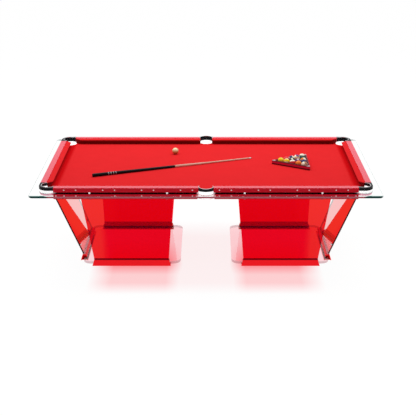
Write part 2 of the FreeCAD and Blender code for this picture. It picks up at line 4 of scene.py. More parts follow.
import bmesh
import bpy
import numpy as np
from bpy.props import FloatProperty, FloatVectorProperty, PointerProperty
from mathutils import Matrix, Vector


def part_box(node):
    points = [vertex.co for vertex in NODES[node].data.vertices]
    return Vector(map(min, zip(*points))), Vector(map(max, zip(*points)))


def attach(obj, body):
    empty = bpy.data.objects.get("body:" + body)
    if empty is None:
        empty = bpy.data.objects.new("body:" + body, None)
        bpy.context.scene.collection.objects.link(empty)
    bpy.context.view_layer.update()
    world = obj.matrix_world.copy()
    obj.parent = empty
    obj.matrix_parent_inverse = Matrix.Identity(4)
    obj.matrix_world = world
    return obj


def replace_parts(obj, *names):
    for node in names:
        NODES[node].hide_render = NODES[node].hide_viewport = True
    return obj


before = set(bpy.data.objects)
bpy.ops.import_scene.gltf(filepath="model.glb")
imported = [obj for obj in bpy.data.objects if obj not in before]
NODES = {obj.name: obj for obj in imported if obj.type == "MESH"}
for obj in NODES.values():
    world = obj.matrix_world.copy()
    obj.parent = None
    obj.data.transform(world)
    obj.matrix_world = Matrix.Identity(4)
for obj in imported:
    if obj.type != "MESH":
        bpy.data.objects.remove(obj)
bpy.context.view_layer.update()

bl_info = {
    "name": "Glass Pool Table",
    "version": (1, 0, 0),
    "blender": (4, 5, 0),
    "location": "View3D > Sidebar > Pool Table",
    "description": "Cloth, glass, metal and playing set of a glass-bed pool table",
    "category": "Object",
}

QUARTERS = ("front_left", "front_right", "back_left", "back_right")

# Places that the pieces share, read from the construction model, in metres
BED_HALF_X, BED_HALF_Y, BED_TOP = (float(v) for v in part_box("bed_cloth")[1])
BED_UNDER = float(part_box("bed_cloth")[0][2])
OUTER_X = float(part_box("rail_right")[1][0])
OUTER_Y = float(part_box("rail_back_right")[1][1])
BACK_X = float(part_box("rail_right")[0][0])
BACK_Y = float(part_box("rail_back_right")[0][1])
RAIL_END_X = float(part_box("rail_back_right")[1][0])
RAIL_END_Y = float(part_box("rail_right")[1][1])
NOSE_X = float(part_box("cushion_right")[0][0])
NOSE_Y = float(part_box("cushion_back_right")[0][1])
CUSHION_TOP = float(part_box("cushion_right")[1][2])
CUSHION_DEPTH = BACK_X - NOSE_X
GLASS_END_X, GLASS_END_Y = (float(v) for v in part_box("glass_top")[1][:2])
GLASS_UNDER = float(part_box("glass_top")[0][2])
CUP_TOP = float(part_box("pocket_cup_back_middle")[1][2])
FOOT_FACE_X = -float(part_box("foot_left_outer")[1][0])

# Pockets' centres, by their insets from the rails' outer faces
CORNER_INSET, SIDE_INSET = 0.078, 0.034
CORNER_X, CORNER_Y = OUTER_X - CORNER_INSET, OUTER_Y - CORNER_INSET
SIDE_Y = OUTER_Y - SIDE_INSET

# Where the cushions' noses end at the pockets, and the angles that their ends are cut at, as in
# the construction model
SIDE_NOSE_X, CORNER_NOSE_X, CORNER_NOSE_Y = 0.062, 1.189, 0.554
SIDE_FACING, CORNER_FACING = math.radians(76), math.radians(38)

# A cushion's section: how far its cover keeps inside the rubber's box, and below its top, how far
# the top falls to the nose, the nose's lower edge above the bed, where the undercut meets the
# bed, and the radii of its corners from the back's foot round
COVER_INSET, COVER_BELOW = 0.0003, 0.0002
NOSE_FALL, NOSE_FOOT, UNDERCUT_FOOT = 0.0022, 0.0374, 0.0293
CUSHION_RADII = (0.001, 0.0025, 0.0020, 0.003, 0.001)

# Cloth: turns of its weave to a metre, its lip at the pockets, the steps of its grid before a
# corner lip and in from a long edge, and its folds at the cushions' ends
THREAD_TURN = 2 * math.pi / 0.0012
LIP_GAP, LIP_ROLL, LIP_DROP = 0.0008, 0.0035, 0.0028
LIP_STEPS = np.array([8, 5, 3.5, 2.6, 1.8, 1.0, 0.4]) / 1000
EDGE_STEPS = np.array([0, 0.4, 0.9, 1.5, 2.2, 3.2, 6, 12, 20, 30, 42, 60, 90]) / 1000
UNDER_LIFT = 0.0002
COVER_GAP, FOLD_RADIUS = 0.0004, 0.0016

# Height that the loose pieces stand at, a hair clear of the cloth
PLAY_LEVEL = BED_TOP + 0.0003

# Strips along the bars' inner edges: their two faces, measured outwards from the rails' inner
# faces, their gap to the plate, their foot, and where they stop
SEAL_NEAR, SEAL_FAR, SEAL_GAP, SEAL_BOTTOM = -0.030, -0.0065, 0.0003, GLASS_UNDER - 0.010
SEAL_ROUND, SEAL_STEPS = 0.002, 12
SEAL_START_X, SEAL_END_X, SEAL_END_Y = 0.082, 1.205, 0.570

# Tones laid on by place. A pair runs from where a tone starts to where it is full.
# Painted shade: a cushion's undercut is darker below these heights, and the bed is deep red before
# the noses
UNDERCUT_SHADE_RISE = (BED_TOP + 0.033, BED_TOP + 0.041)
END_SHADE, SIDE_SHADE = (NOSE_X - 0.052, NOSE_X - 0.026), (NOSE_Y - 0.016, NOSE_Y - 0.004)
SIDE_SHARE, SHADE_COLOUR = 0.9, (0.66, 0.0, 0.003)
PLATE_STRIP = (GLASS_END_Y - 0.020, GLASS_END_Y - 0.016)
PLATE_BEYOND = (RAIL_END_X + 0.05, RAIL_END_X + 0.07)
# Where the bed plate's edge turns from the painted red of the bars to deep green beyond their ends,
# and to grey-green at its short sides
EDGE_BEYOND = (RAIL_END_X + 0.03, RAIL_END_X + 0.05)
EDGE_FLANK = (GLASS_END_X - 0.02, GLASS_END_X - 0.01)
PANEL_LOW, PANEL_MIDDLE = (0.41, 0.39), (0.90, 0.83)
# Where the panel seats take painted light along the back and a painted glow in the end feet
SEAT_BACK, SEAT_END = (-0.1, 0.1), (FOOT_FACE_X - 0.026, FOOT_FACE_X - 0.018)
# Where the corner cups take a painted rosy reflection of the red bars and every cup a painted dark
# reflection at its foot
CUP_BELOW, CUP_AT_CORNER = (GLASS_UNDER + 0.006, GLASS_UNDER - 0.002), (0.5, 0.6)
CUP_FOOT = (GLASS_UNDER - 0.020, GLASS_UNDER - 0.026)
CUP_LINING = (CUP_TOP - 0.016, CUP_TOP - 0.014)

# Floor's whites: what it gives back as light, and its matt and its glowing share as it is seen
WHITE = (1.0, 1.0, 1.0)
FLOOR_BOUNCE, FLOOR_SHADE, FLOOR_SHOWN = 0.55, 0.09, 0.955

# Where the painted rosy light on the floor, standing for the light that comes through the red
# glass, starts and is full: sideways, far out in front, near the feet, at its end under the table,
# between the legs, and there towards the back, with its share there
CAST_INNER, CAST_OUTER = (0.18, 0.34), (1.00, 0.80)
CAST_FAR, CAST_NEAR, CAST_UNDER = (-1.02, -0.80), (-0.64, -0.44), (0.20, -0.40)
CAST_WITHIN, CAST_BACK, CAST_BETWEEN = (0.62, 0.42), (0.60, 0.20), 0.15
CAST_COLOUR = (1.0, 0.26, 0.29)

# Lamp
KEY_SIZE, KEY_PLACE, KEY_TILT = (6.0, 3.4), (0.0, 1.6, 4.6), -0.35


# ------------------------------------------------------------------ what a user would change

def colour_property(name, description, default):
    return FloatVectorProperty(name=name, description=description, default=default,
                               subtype="COLOR", size=3, min=0.0, max=1.0)


def length_property(name, description, default):
    return FloatProperty(name=name, description=description, default=default,
                         unit="LENGTH", subtype="DISTANCE", min=0.0, precision=5)


class PoolTableColours(bpy.types.PropertyGroup):
    """Colours of the table's finishes, as linear red, green and blue."""
    cloth: colour_property("Cloth", "Worsted cloth of bed and cushions", (0.85, 0.021, 0.025))
    rail: colour_property("Rails", "Lacquer of the rail strips", (0.86, 0.008, 0.026))
    under_frame: colour_property("Under-frame", "Lacquer of the bars below the glass",
                                 (0.98, 0.012, 0.040))
    foot: colour_property("Feet", "Anodised foot channels", (0.86, 0.012, 0.018))
    seat: colour_property("Panel seats", "Strips under the panels", (0.30, 0.002, 0.008))
    red_glass: colour_property("Red glass", "What one face of a red panel lets through",
                               (0.925, 0.165, 0.134))
    clear_glass: colour_property("Clear glass", "What one face of a clear plate lets through",
                                 (0.985, 0.995, 0.99))
    # The base plates are clear glass; their rosy tint is painted red light from the red panels
    rosy_glass: colour_property("Base plates", "What one face of a base plate lets through",
                                (1.0, 0.80, 0.82))
    glass_edge: colour_property("Glass edge", "Cut edge of the clear plates", (0.0, 0.085, 0.075))
    casting: colour_property("Castings", "Black pocket brackets", (0.004, 0.004, 0.006))
    ivory: colour_property("Cue ball", "Resin of the cue ball", (1.0, 0.90, 0.52))
    maple: colour_property("Maple", "Shaft of the cue", (0.86, 0.56, 0.42))
    # The rack's magenta-red is a painted reflection of the red cloth on the black moulding
    rack: colour_property("Rack", "Sides of the moulded rack", (0.62, 0.010, 0.055))


class PoolTableSizes(bpy.types.PropertyGroup):
    """Sizes of the camera, the light and the detail that the construction model leaves open."""
    camera_distance: length_property("Camera distance",
                                     "Camera to the table's middle, along the floor", 8.01374)
    camera_height: length_property("Camera height", "Camera above the floor", 3.40387)
    camera_side: length_property("Camera side step", "Camera to the right of the middle", 0.0169)
    camera_pitch: FloatProperty(name="Camera pitch", description="How far the camera looks down",
                                default=math.radians(20.76), unit="ROTATION", subtype="ANGLE")
    lens: FloatProperty(name="Lens", description="Focal length in millimetres on a 36 mm sensor",
                        default=82.17, min=1.0)
    key_power: FloatProperty(name="Key light", description="Power of the overhead soft light",
                             default=150.0, unit="POWER", min=0.0)
    fill_strength: FloatProperty(name="Fill", description="Strength of the light from all round",
                                 default=0.48, min=0.0)
    floor_size: length_property("Floor", "Side of the floor", 60.0)
    pocket_radius: length_property("Pocket", "Radius of a pocket's bore", 0.0575)
    cup_radius: length_property("Cup", "Radius of a pocket's cup", 0.075)
    ball_radius: length_property("Ball", "Radius of a ball", 0.028575)


# ------------------------------------------------------------------ small tools

def colours():
    return bpy.context.scene.pool_table_colours


def sizes():
    return bpy.context.scene.pool_table_sizes


def new_material(name):
    """A material whose tree is empty but for its output, and that tree."""
    material = bpy.data.materials.new(name)
    material.use_nodes = True
    tree = material.node_tree
    tree.nodes.clear()
    tree.nodes.new("ShaderNodeOutputMaterial")
    return material, tree


def add(tree, kind, inputs=None, **settings):
    """A new node of a kind. Its inputs, by name or number, take other nodes' outputs or values,
    and a colour as its red, green and blue."""
    node = tree.nodes.new("ShaderNode" + kind)
    for name, value in settings.items():
        setattr(node, name, value)
    for name, value in (inputs or {}).items():
        socket = node.inputs[name]
        if isinstance(value, bpy.types.NodeSocket):
            tree.links.new(value, socket)
        else:
            socket.default_value = (*value, 1.0) if socket.type == "RGBA" else value
    return node


def result(tree, kind, inputs, **settings):
    """The first output of a new node of a kind."""
    return add(tree, kind, inputs, **settings).outputs[0]


def blend(tree, share, first, second):
    """The first shader where share is 0 and the second where it is 1."""
    return result(tree, "MixShader", {0: share, 1: first, 2: second})


def finish_with(tree, surface):
    output = next(node for node in tree.nodes if node.type == "OUTPUT_MATERIAL")
    tree.links.new(surface, output.inputs["Surface"])


def maths(tree, operation, a, b=0.0, clamp=False):
    return result(tree, "Math", {0: a, 1: b}, operation=operation, use_clamp=clamp)


def times(tree, first, *others):
    """The product of two or more values."""
    for other in others:
        first = maths(tree, "MULTIPLY", first, other)
    return first


def away(tree, value):
    """How far a value is from 0, to either side."""
    return maths(tree, "ABSOLUTE", value)


def step_up(tree, value, low, high):
    """0 where value is at low, 1 where it is at high, even between and held beyond them."""
    return result(tree, "MapRange", {"Value": value, "From Min": low, "From Max": high})


def spread(tree, value, low, high):
    """A 0 to 1 value stretched to run from low to high."""
    return result(tree, "MapRange", {"Value": value, "To Min": low, "To Max": high})


def object_place(tree, scale=(1.0, 1.0, 1.0)):
    """Object coordinates, stretched by a scale along each axis."""
    place = add(tree, "TexCoord").outputs["Object"]
    return result(tree, "Mapping", {"Vector": place, "Scale": scale})


def axes(tree, vector=None):
    """The x, y and z of a vector, or of the object coordinates."""
    if vector is None:
        vector = add(tree, "TexCoord").outputs["Object"]
    return add(tree, "SeparateXYZ", {0: vector}).outputs


def face_normal(tree):
    """The x, y and z of the way that a face looks."""
    return axes(tree, add(tree, "NewGeometry").outputs["True Normal"])


def distance(tree, x, y, centre):
    """The distance of x and y from a centre in plan."""
    squares = [maths(tree, "POWER", maths(tree, "SUBTRACT", value, middle), 2.0)
               for value, middle in zip((x, y), centre)]
    return maths(tree, "SQRT", maths(tree, "ADD", *squares))


def noise(tree, place, scale, detail=3.0):
    return add(tree, "TexNoise", {"Vector": place, "Scale": scale, "Detail": detail}).outputs["Fac"]


def mix_colour(tree, factor, a, b):
    """Colour a where factor is 0 and b where it is 1. Each may be numbers or an output."""
    return add(tree, "Mix", {0: factor, 6: a, 7: b}, data_type="RGBA").outputs[2]


def darker(colour, share):
    """A colour's red, green and blue times a share."""
    return tuple(share * c for c in colour)


def shaded(tree, colour, value, depth):
    """A colour made darker by up to depth where value is low."""
    return mix_colour(tree, value, darker(colour, 1.0 - depth), colour)


def wear(node, material):
    """Gives a construction node its one material."""
    materials = NODES[node].data.materials
    materials.clear()
    materials.append(material)


def wear_all(prefix, material, without=()):
    """Gives every construction node whose name starts with a prefix its one material."""
    for name in sorted(NODES):
        if name.startswith(prefix) and name not in without:
            wear(name, material)


# ------------------------------------------------------------------ surfaces

def grid_faces(rows, columns, round_columns=True):
    """Corner numbers of the quads between neighbouring rows and columns of a grid of points."""
    down = np.arange(rows - 1)[:, None]
    across = np.arange(columns if round_columns else columns - 1)[None, :]
    beside = (across + 1) % columns
    corners = (down * columns + across, down * columns + beside,
               (down + 1) * columns + beside, (down + 1) * columns + across)
    return np.stack(np.broadcast_arrays(*corners), axis=-1).reshape(-1, 4)


def closed_skin(rings):
    """Points and faces of a skin through closed rings, with a fan of triangles round the mean of
    each end ring. Faces point outwards: the skin's volume, a sixth of the sum of its corners'
    triple products, comes out positive."""
    rows, columns = rings.shape[:2]
    hubs = rings[[0, -1]].mean(axis=1)
    points = np.concatenate([rings.reshape(-1, 3), hubs])
    quads = grid_faces(rows, columns)
    turn = np.arange(columns)
    ahead = (turn + 1) % columns
    last = (rows - 1) * columns
    fans = np.concatenate([
        np.stack([ahead, turn, np.full(columns, rows * columns)], axis=1),
        np.stack([last + turn, last + ahead, np.full(columns, rows * columns + 1)], axis=1)])
    triangles = np.concatenate([quads[:, :3], quads[:, [0, 2, 3]], fans])
    a, b, c = (points[triangles[:, k]] for k in range(3))
    if np.einsum("ij,ij->", a, np.cross(b, c)) < 0.0:
        quads, fans = quads[:, ::-1], fans[:, ::-1]
    return points, quads.tolist() + fans.tolist()


def joined(skins):
    """Points and faces of several skins as one."""
    starts = np.cumsum([0] + [len(points) for points, _ in skins[:-1]])
    faces = [[int(corner + start) for corner in face]
             for start, (_, skin) in zip(starts, skins) for face in skin]
    return np.concatenate([points for points, _ in skins]), faces


def new_piece(name, points, faces, body, slot, *materials):
    """A smooth mesh piece that rides on a body and wears the given materials. Its slot is not used.
    """
    mesh = bpy.data.meshes.new(name)
    mesh.from_pydata(points.tolist(), [], faces)
    mesh.shade_smooth()
    for material in materials:
        mesh.materials.append(material)
    piece = bpy.data.objects.new(name, mesh)
    bpy.context.scene.collection.objects.link(piece)
    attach(piece, body)
    return piece


def rounded_outline(corners, radii, steps=5):
    """A closed outline through corners in order, each turned by an arc of its own radius. An arc
    of radius r at a corner of half angle h starts r / tan(h) before the corner, and its points
    are the centre plus r times the unit vector that swings from one side's normal to the
    other's."""
    corners = np.asarray(corners, float)
    before = np.roll(corners, 1, axis=0) - corners
    after = np.roll(corners, -1, axis=0) - corners
    before /= np.linalg.norm(before, axis=1)[:, None]
    after /= np.linalg.norm(after, axis=1)[:, None]
    half = np.arccos(np.clip((before * after).sum(axis=1), -1, 1)) / 2
    radii = np.asarray(radii, float)
    bisector = before + after
    bisector /= np.linalg.norm(bisector, axis=1)[:, None]
    centre = corners + bisector * (radii / np.sin(half))[:, None]
    start = corners + before * (radii / np.tan(half))[:, None] - centre
    end = corners + after * (radii / np.tan(half))[:, None] - centre
    share = np.linspace(0, 1, steps)[None, :, None]
    swing = start[:, None, :] * (1 - share) + end[:, None, :] * share
    length = np.linalg.norm(swing, axis=2, keepdims=True)
    swing = swing / np.maximum(length, 1e-9) * radii[:, None, None]
    return (centre[:, None, :] + swing).reshape(-1, 2)


# ------------------------------------------------------------------ finishes

def cloth_material(name, colour, undercut=False, noses=False):
    """Worsted cloth: a fine plain weave, a soft nap and slight shading over the bed. A cushion's is
    deeper in its undercut, as painted shade. The bed's has a painted shade, a deep pure red close
    to the cushions' noses."""
    material, tree = new_material(name)
    place = object_place(tree)
    x, y, z = axes(tree)
    warp = maths(tree, "SINE", times(tree, x, THREAD_TURN))
    weft = maths(tree, "SINE", times(tree, y, THREAD_TURN))
    weave = spread(tree, times(tree, warp, weft), 0.5, 1.0)
    fuzz = noise(tree, place, 900.0, 2.0)
    nap = noise(tree, place, 7.0, 4.0)
    tint = shaded(tree, colour, spread(tree, nap, 0.2, 1.0), 0.12)
    if undercut:
        # Painted shade in the undercut
        tint = mix_colour(tree, step_up(tree, z, *UNDERCUT_SHADE_RISE), darker(colour, 0.25), tint)
    if noses:
        # Painted shade before the cushions' noses
        ends = step_up(tree, away(tree, x), *END_SHADE)
        sides = times(tree, step_up(tree, away(tree, y), *SIDE_SHADE), SIDE_SHARE)
        tint = mix_colour(tree, maths(tree, "MAXIMUM", ends, sides), tint, SHADE_COLOUR)
    bump = result(tree, "Bump", {"Height": maths(tree, "ADD", weave, fuzz), "Strength": 0.3,
                                 "Distance": 0.0003})
    finish_with(tree, result(tree, "BsdfPrincipled", {
        "Base Color": tint, "Roughness": 0.92, "Normal": bump,
        "Specular IOR Level": 0.03, "Sheen Weight": 0.01, "Sheen Roughness": 0.5}))
    return material


def slant_share(tree, gain, power):
    """Gain times a power of the slant, which is 0 where a face is met squarely and 1 edge on."""
    slant = add(tree, "LayerWeight", {"Blend": 0.5}).outputs["Facing"]
    return maths(tree, "MULTIPLY", maths(tree, "POWER", slant, power), gain, clamp=True)


def lacquer_material(name, colour, roughness=0.14, gain=0.36, tint=None, gap_shade=0.0, glint=0.0):
    """Lacquer over metal: an even coat with a faint orange peel. Its mirror's share is gain times
    the square of the slant, so a face that is met squarely shows its own colour. A tint builder may
    stand in for the even colour. Faces that look into the gap at the bed plate, up where shut is 1
    and down where it is -1, get painted shade and are nearly black. A glint adds the colour as
    painted light, a glow though the part is no lamp."""
    material, tree = new_material(name)
    place = object_place(tree)
    if tint is None:
        shade = shaded(tree, colour, spread(tree, noise(tree, place, 5.0), 0.3, 1.0), 0.08)
    else:
        shade = tint(tree)
    if gap_shade:
        # Painted shade: faces that look into the gap at the bed plate are nearly black
        painted_gap_shade = step_up(tree, times(tree, face_normal(tree)["Z"], gap_shade), 0.8, 0.9)
        shade = mix_colour(tree, painted_gap_shade, shade, darker(colour, 0.04))
    peel = result(tree, "Bump", {"Height": noise(tree, place, 240.0, 2.0), "Strength": 0.04,
                                 "Distance": 0.0004})
    coat = spread(tree, noise(tree, place, 40.0), roughness * 0.8, roughness * 1.2)
    body = result(tree, "BsdfPrincipled", {
        "Base Color": shade, "Roughness": 0.45, "Specular IOR Level": 0.1, "Normal": peel,
        "Emission Color": shade, "Emission Strength": glint})
    mirror = result(tree, "BsdfGlossy", {"Color": (1.0, 0.84, 1.0), "Roughness": coat,
                                         "Normal": peel})
    finish_with(tree, blend(tree, slant_share(tree, gain, 2.0), body, mirror))
    return material


def metal_material(name, colour=(0.9, 0.9, 0.91), roughness=0.08, tint=None, glint=0.0):
    """Polished metal with faint turning marks. A tint builder may stand in for the even colour.
    A glint adds the colour as a painted glow, painted light that stands for the light that a
    polished hollow gathers."""
    material, tree = new_material(name)
    marks = noise(tree, object_place(tree, (1.0, 1.0, 14.0)), 60.0, 4.0)
    gloss = spread(tree, marks, roughness * 0.6, roughness * 1.6)
    if tint is None:
        shade = shaded(tree, colour, spread(tree, marks, 0.2, 1.0), 0.05)
    else:
        shade = tint(tree)
    finish_with(tree, result(tree, "BsdfPrincipled", {
        "Base Color": shade, "Metallic": 1.0, "Roughness": gloss,
        "Emission Color": shade, "Emission Strength": glint}))
    return material


def resin_material(name, colour):
    """Polished ball resin: deep colour under a clear, slightly handled surface. Low down it is
    darker and warmer, painted shade with painted red light from the cloth."""
    material, tree = new_material(name)
    place = object_place(tree)
    tint = shaded(tree, colour, spread(tree, noise(tree, place, 30.0), 0.4, 1.0), 0.05)
    middle = BED_TOP + sizes().ball_radius
    # Painted shade with painted red light from the cloth, below the ball's middle
    over = step_up(tree, axes(tree)[2], middle - 0.006, middle + 0.018)
    shade_and_cloth_bounce = tuple(c * w for c, w in zip(colour, (0.55, 0.24, 0.10)))
    finish_with(tree, result(tree, "BsdfPrincipled", {
        "Base Color": mix_colour(tree, over, shade_and_cloth_bounce, tint),
        "Roughness": spread(tree, noise(tree, place, 300.0, 2.0), 0.05, 0.12),
        "Specular IOR Level": 0.15}))
    return material


def pane_material(name, tint, edge, faces, gain=0.9, power=2.0, mirror_colour=WHITE, bend=False):
    """A pane: it lets tinted light through, and mirrors more at a slant on the side that light
    meets first. Its tint is a colour or a builder of one. Its cut edges, which don't look along
    the axis that its faces do, get the shader that edge builds. A pane that bends shows what is
    behind it shifted, as thick glass does, and still lights it straight through."""
    material, tree = new_material(name)
    through = tint(tree) if callable(tint) else tint
    clear = result(tree, "BsdfTransparent", {"Color": through})
    if bend:
        bent = result(tree, "BsdfRefraction", {"Color": through, "Roughness": 0.0, "IOR": 1.5})
        clear = blend(tree, seen_directly(tree), clear, bent)
    smear = spread(tree, noise(tree, object_place(tree), 3.0, 2.0), 0.005, 0.02)
    mirror = result(tree, "BsdfGlossy", {"Color": mirror_colour, "Roughness": smear})
    first = maths(tree, "SUBTRACT", 1.0, add(tree, "NewGeometry").outputs["Backfacing"])
    pane = blend(tree, times(tree, slant_share(tree, gain, power), first), clear, mirror)
    cut = maths(tree, "LESS_THAN", away(tree, face_normal(tree)[faces]), 0.9)
    finish_with(tree, blend(tree, cut, pane, edge(tree)))
    return material


def glassy_edge(tree, colour, clarity, through, gloss=0.3):
    """A polished cut edge: part clear to a colour, part solid-looking, with a gloss."""
    body = result(tree, "BsdfPrincipled", {"Base Color": colour, "Roughness": 0.12,
                                           "Specular IOR Level": gloss})
    clear = result(tree, "BsdfTransparent", {"Color": through})
    return blend(tree, 1.0 - clarity, clear, body)


def bed_plate_tint(tree):
    """Nearly clear, but deep green in the strip along a long edge that shows beyond the bars."""
    x, y, _ = axes(tree)
    strip = step_up(tree, away(tree, y), *PLATE_STRIP)
    beyond = step_up(tree, away(tree, x), *PLATE_BEYOND)
    return mix_colour(tree, times(tree, strip, beyond), colours().clear_glass, (0.01, 0.20, 0.17))


def bed_plate_edge(tree):
    """The bed plate's edge: pale red in front of the bars, a painted red of the bars that shine
    through it, deep green beyond the bars' ends, and grey-green on the plate's short sides."""
    far = away(tree, axes(tree)[0])
    beyond = step_up(tree, far, *EDGE_BEYOND)
    # Painted red of the bars seen through the edge, and deep green beyond them
    colour = mix_colour(tree, beyond, (0.95, 0.24, 0.30), colours().glass_edge)
    colour = mix_colour(tree, step_up(tree, far, *EDGE_FLANK), colour, (0.50, 0.66, 0.66))
    return glassy_edge(tree, colour, clarity=0.25, through=(0.6, 0.75, 0.75), gloss=0.1)


# The base plates' pink edge is painted red light from the red panels
def base_plate_edge(tree):
    return glassy_edge(tree, (0.90, 0.70, 0.73), clarity=0.65, through=(0.95, 0.84, 0.86))


def side_panel_tint(tree):
    """The red glass, a purer red in its lower part, away from its slanting edges."""
    x, _, z = axes(tree)
    red, green, blue = colours().red_glass
    pure = times(tree, step_up(tree, z, *PANEL_LOW), step_up(tree, away(tree, x), *PANEL_MIDDLE))
    return mix_colour(tree, pure, (red, green, blue), (red * 0.985, green * 0.3, blue * 0.9))


def side_panel_edge(tree):
    return glassy_edge(tree, (0.75, 0.008, 0.03), clarity=0.7, through=(0.9, 0.10, 0.10),
                       gloss=0.05)


def end_panel_edge(tree):
    return glassy_edge(tree, (0.05, 0.006, 0.006), clarity=0.15, through=(0.3, 0.02, 0.02),
                       gloss=0.05)


# ------------------------------------------------------------------ stage

class POOLTABLE_OT_stage(bpy.types.Operator):
    """Camera, floor, soft lights and white surroundings"""
    bl_idname = "pool_table.stage"
    bl_label = "Stage"

    def execute(self, context):
        size = sizes()
        scene = context.scene
        camera_data = bpy.data.cameras.new("camera")
        camera_data.lens = size.lens
        camera_data.clip_end = 200.0
        camera = bpy.data.objects.new("camera", camera_data)
        camera.location = (size.camera_side, -size.camera_distance, size.camera_height)
        camera.rotation_euler = (math.pi / 2 - size.camera_pitch, 0.0, 0.0)
        scene.collection.objects.link(camera)
        scene.camera = camera
        scene.view_settings.view_transform = "Standard"
        self.floor(scene, size.floor_size / 2)
        self.world(scene, size.fill_strength)
        self.light(scene, size.key_power)
        return {"FINISHED"}

    def floor(self, scene, half):
        mesh = bpy.data.meshes.new("floor")
        mesh.from_pydata([(-half, -half, 0), (half, -half, 0), (half, half, 0), (-half, half, 0)],
                         [], [(0, 1, 2, 3)])
        floor = bpy.data.objects.new("floor", mesh)
        scene.collection.objects.link(floor)
        material, tree = new_material("floor_white")
        bounce = result(tree, "BsdfDiffuse", {"Color": (FLOOR_BOUNCE,) * 3})
        matt = result(tree, "BsdfDiffuse", {"Color": (FLOOR_SHADE,) * 3})
        # Its glowing share carries the painted rosy light
        lit = result(tree, "Emission", {"Color": self.cast(tree), "Strength": FLOOR_SHOWN})
        shown = result(tree, "AddShader", {0: matt, 1: lit})
        finish_with(tree, blend(tree, seen_directly(tree), bounce, shown))
        mesh.materials.append(material)

    def cast(self, tree):
        """White, with a painted rosy light for the light that comes through the red glass: strong
        just in front of the feet, then weaker and even, gone about a metre before the table's
        middle line, and faint between the legs."""
        x, y, _ = axes(tree)
        aside = away(tree, x)
        reach = step_up(tree, y, *CAST_FAR)
        ahead = maths(tree, "ADD", times(tree, reach, 0.5),
                      times(tree, step_up(tree, y, *CAST_NEAR), 0.5))
        beside = times(tree, step_up(tree, aside, *CAST_INNER), step_up(tree, aside, *CAST_OUTER))
        front = times(tree, ahead, beside, step_up(tree, y, *CAST_UNDER))
        between = times(tree, step_up(tree, aside, *CAST_WITHIN), step_up(tree, y, *CAST_BACK),
                        reach, CAST_BETWEEN)
        return mix_colour(tree, maths(tree, "MAXIMUM", front, between), WHITE, CAST_COLOUR)

    def world(self, scene, strength):
        world = bpy.data.worlds.new("white_surround")
        world.use_nodes = True
        tree = world.node_tree
        tree.nodes.clear()
        lit, shown = (result(tree, "Background", {"Color": WHITE, "Strength": level})
                      for level in (strength, 1.0))
        output = tree.nodes.new("ShaderNodeOutputWorld")
        tree.links.new(blend(tree, seen_directly(tree), lit, shown), output.inputs["Surface"])
        scene.world = world

    def light(self, scene, power):
        lamp = bpy.data.lights.new("key_light", "AREA")
        lamp.shape = "RECTANGLE"
        lamp.size, lamp.size_y = KEY_SIZE
        lamp.energy = power
        light = bpy.data.objects.new("key_light", lamp)
        light.location = KEY_PLACE
        light.rotation_euler = (KEY_TILT, 0.0, 0.0)
        scene.collection.objects.link(light)


def seen_directly(tree):
    """1 for rays from the camera, in mirrors and through glass, 0 for rays that only bring
    light."""
    path = add(tree, "LightPath")
    total = maths(tree, "ADD", path.outputs["Is Camera Ray"], path.outputs["Is Glossy Ray"])
    return maths(tree, "ADD", total, path.outputs["Is Transmission Ray"], clamp=True)


# ------------------------------------------------------------------ glass and metal

class POOLTABLE_OT_glass(bpy.types.Operator):
    """Bed plate, base plates and leg panels"""
    bl_idname = "pool_table.glass"
    bl_label = "Glass"

    def execute(self, context):
        tone = colours()
        wear("glass_top", pane_material("bed_plate_glass", bed_plate_tint, bed_plate_edge, "Z",
                                        gain=0.6, power=4.0, bend=True))
        wear_all("base_plate_", pane_material("base_plate_glass", tone.rosy_glass,
                                              base_plate_edge, "Z", power=4.0))
        wear_all("leg_panel_", pane_material("side_panel_glass", side_panel_tint,
                                             side_panel_edge, "Y", gain=0.3,
                                             mirror_colour=(1.0, 0.04, 0.35)))
        wear_all("end_panel_", pane_material("end_panel_glass", tone.red_glass,
                                             end_panel_edge, "X"))
        return {"FINISHED"}


def foot_tint(tree):
    """Anodised red, with painted shade: deeper on the faces that look in under the table, away from
    the light.
    """
    tone = tuple(colours().foot)
    # Painted shade on the faces that look in under the table
    outward = step_up(tree, times(tree, axes(tree)["Y"], face_normal(tree)["Y"]), -0.15, -0.05)
    return mix_colour(tree, outward, darker(tone, 0.60), tone)


def seat_tint(tree):
    """Dark red along the front. Along the back, behind two panes, it is lighter with painted light,
    and in the end feet it is pale with a painted glow where the pane's cut edge shines into it."""
    x, y, _ = axes(tree)
    tone = tuple(colours().seat)
    sides = mix_colour(tree, step_up(tree, y, *SEAT_BACK), tone, darker(tone, 2.6))
    end = step_up(tree, away(tree, x), *SEAT_END)
    return mix_colour(tree, end, sides, (0.95, 0.62, 0.66))


def cup_tint(tree):
    """Bright above the bed plate. Below it the outer walls of the corner cups, which hang among the
    red bars, carry a painted rosy reflection of the bars, and every cup has a painted dark
    reflection along its bottom edge. The wall that looks in over the bed is black at its top, where
    the casting's lining comes down to it."""
    x, y, z = axes(tree)
    aside = away(tree, x)
    from_axis = distance(tree, aside, away(tree, y), (CORNER_X, CORNER_Y))
    outer = step_up(tree, from_axis, sizes().cup_radius - 0.0016, sizes().cup_radius - 0.0008)
    # Painted rosy reflection of the red bars on the corner cups' outer walls
    rosy = times(tree, step_up(tree, z, *CUP_BELOW), outer, step_up(tree, aside, *CUP_AT_CORNER))
    tint = mix_colour(tree, rosy, (0.98, 0.97, 0.97), (0.62, 0.24, 0.33))
    _, across, upward = face_normal(tree)
    # Painted dark reflection along each cup's bottom edge
    low = times(tree, step_up(tree, away(tree, upward), 0.6, 0.4), step_up(tree, z, *CUP_FOOT))
    tint = mix_colour(tree, low, tint, (0.06, 0.006, 0.010))
    inward = step_up(tree, times(tree, y, across), -0.05, -0.20)
    lining = times(tree, inward, step_up(tree, z, *CUP_LINING))
    return mix_colour(tree, lining, tint, colours().casting)


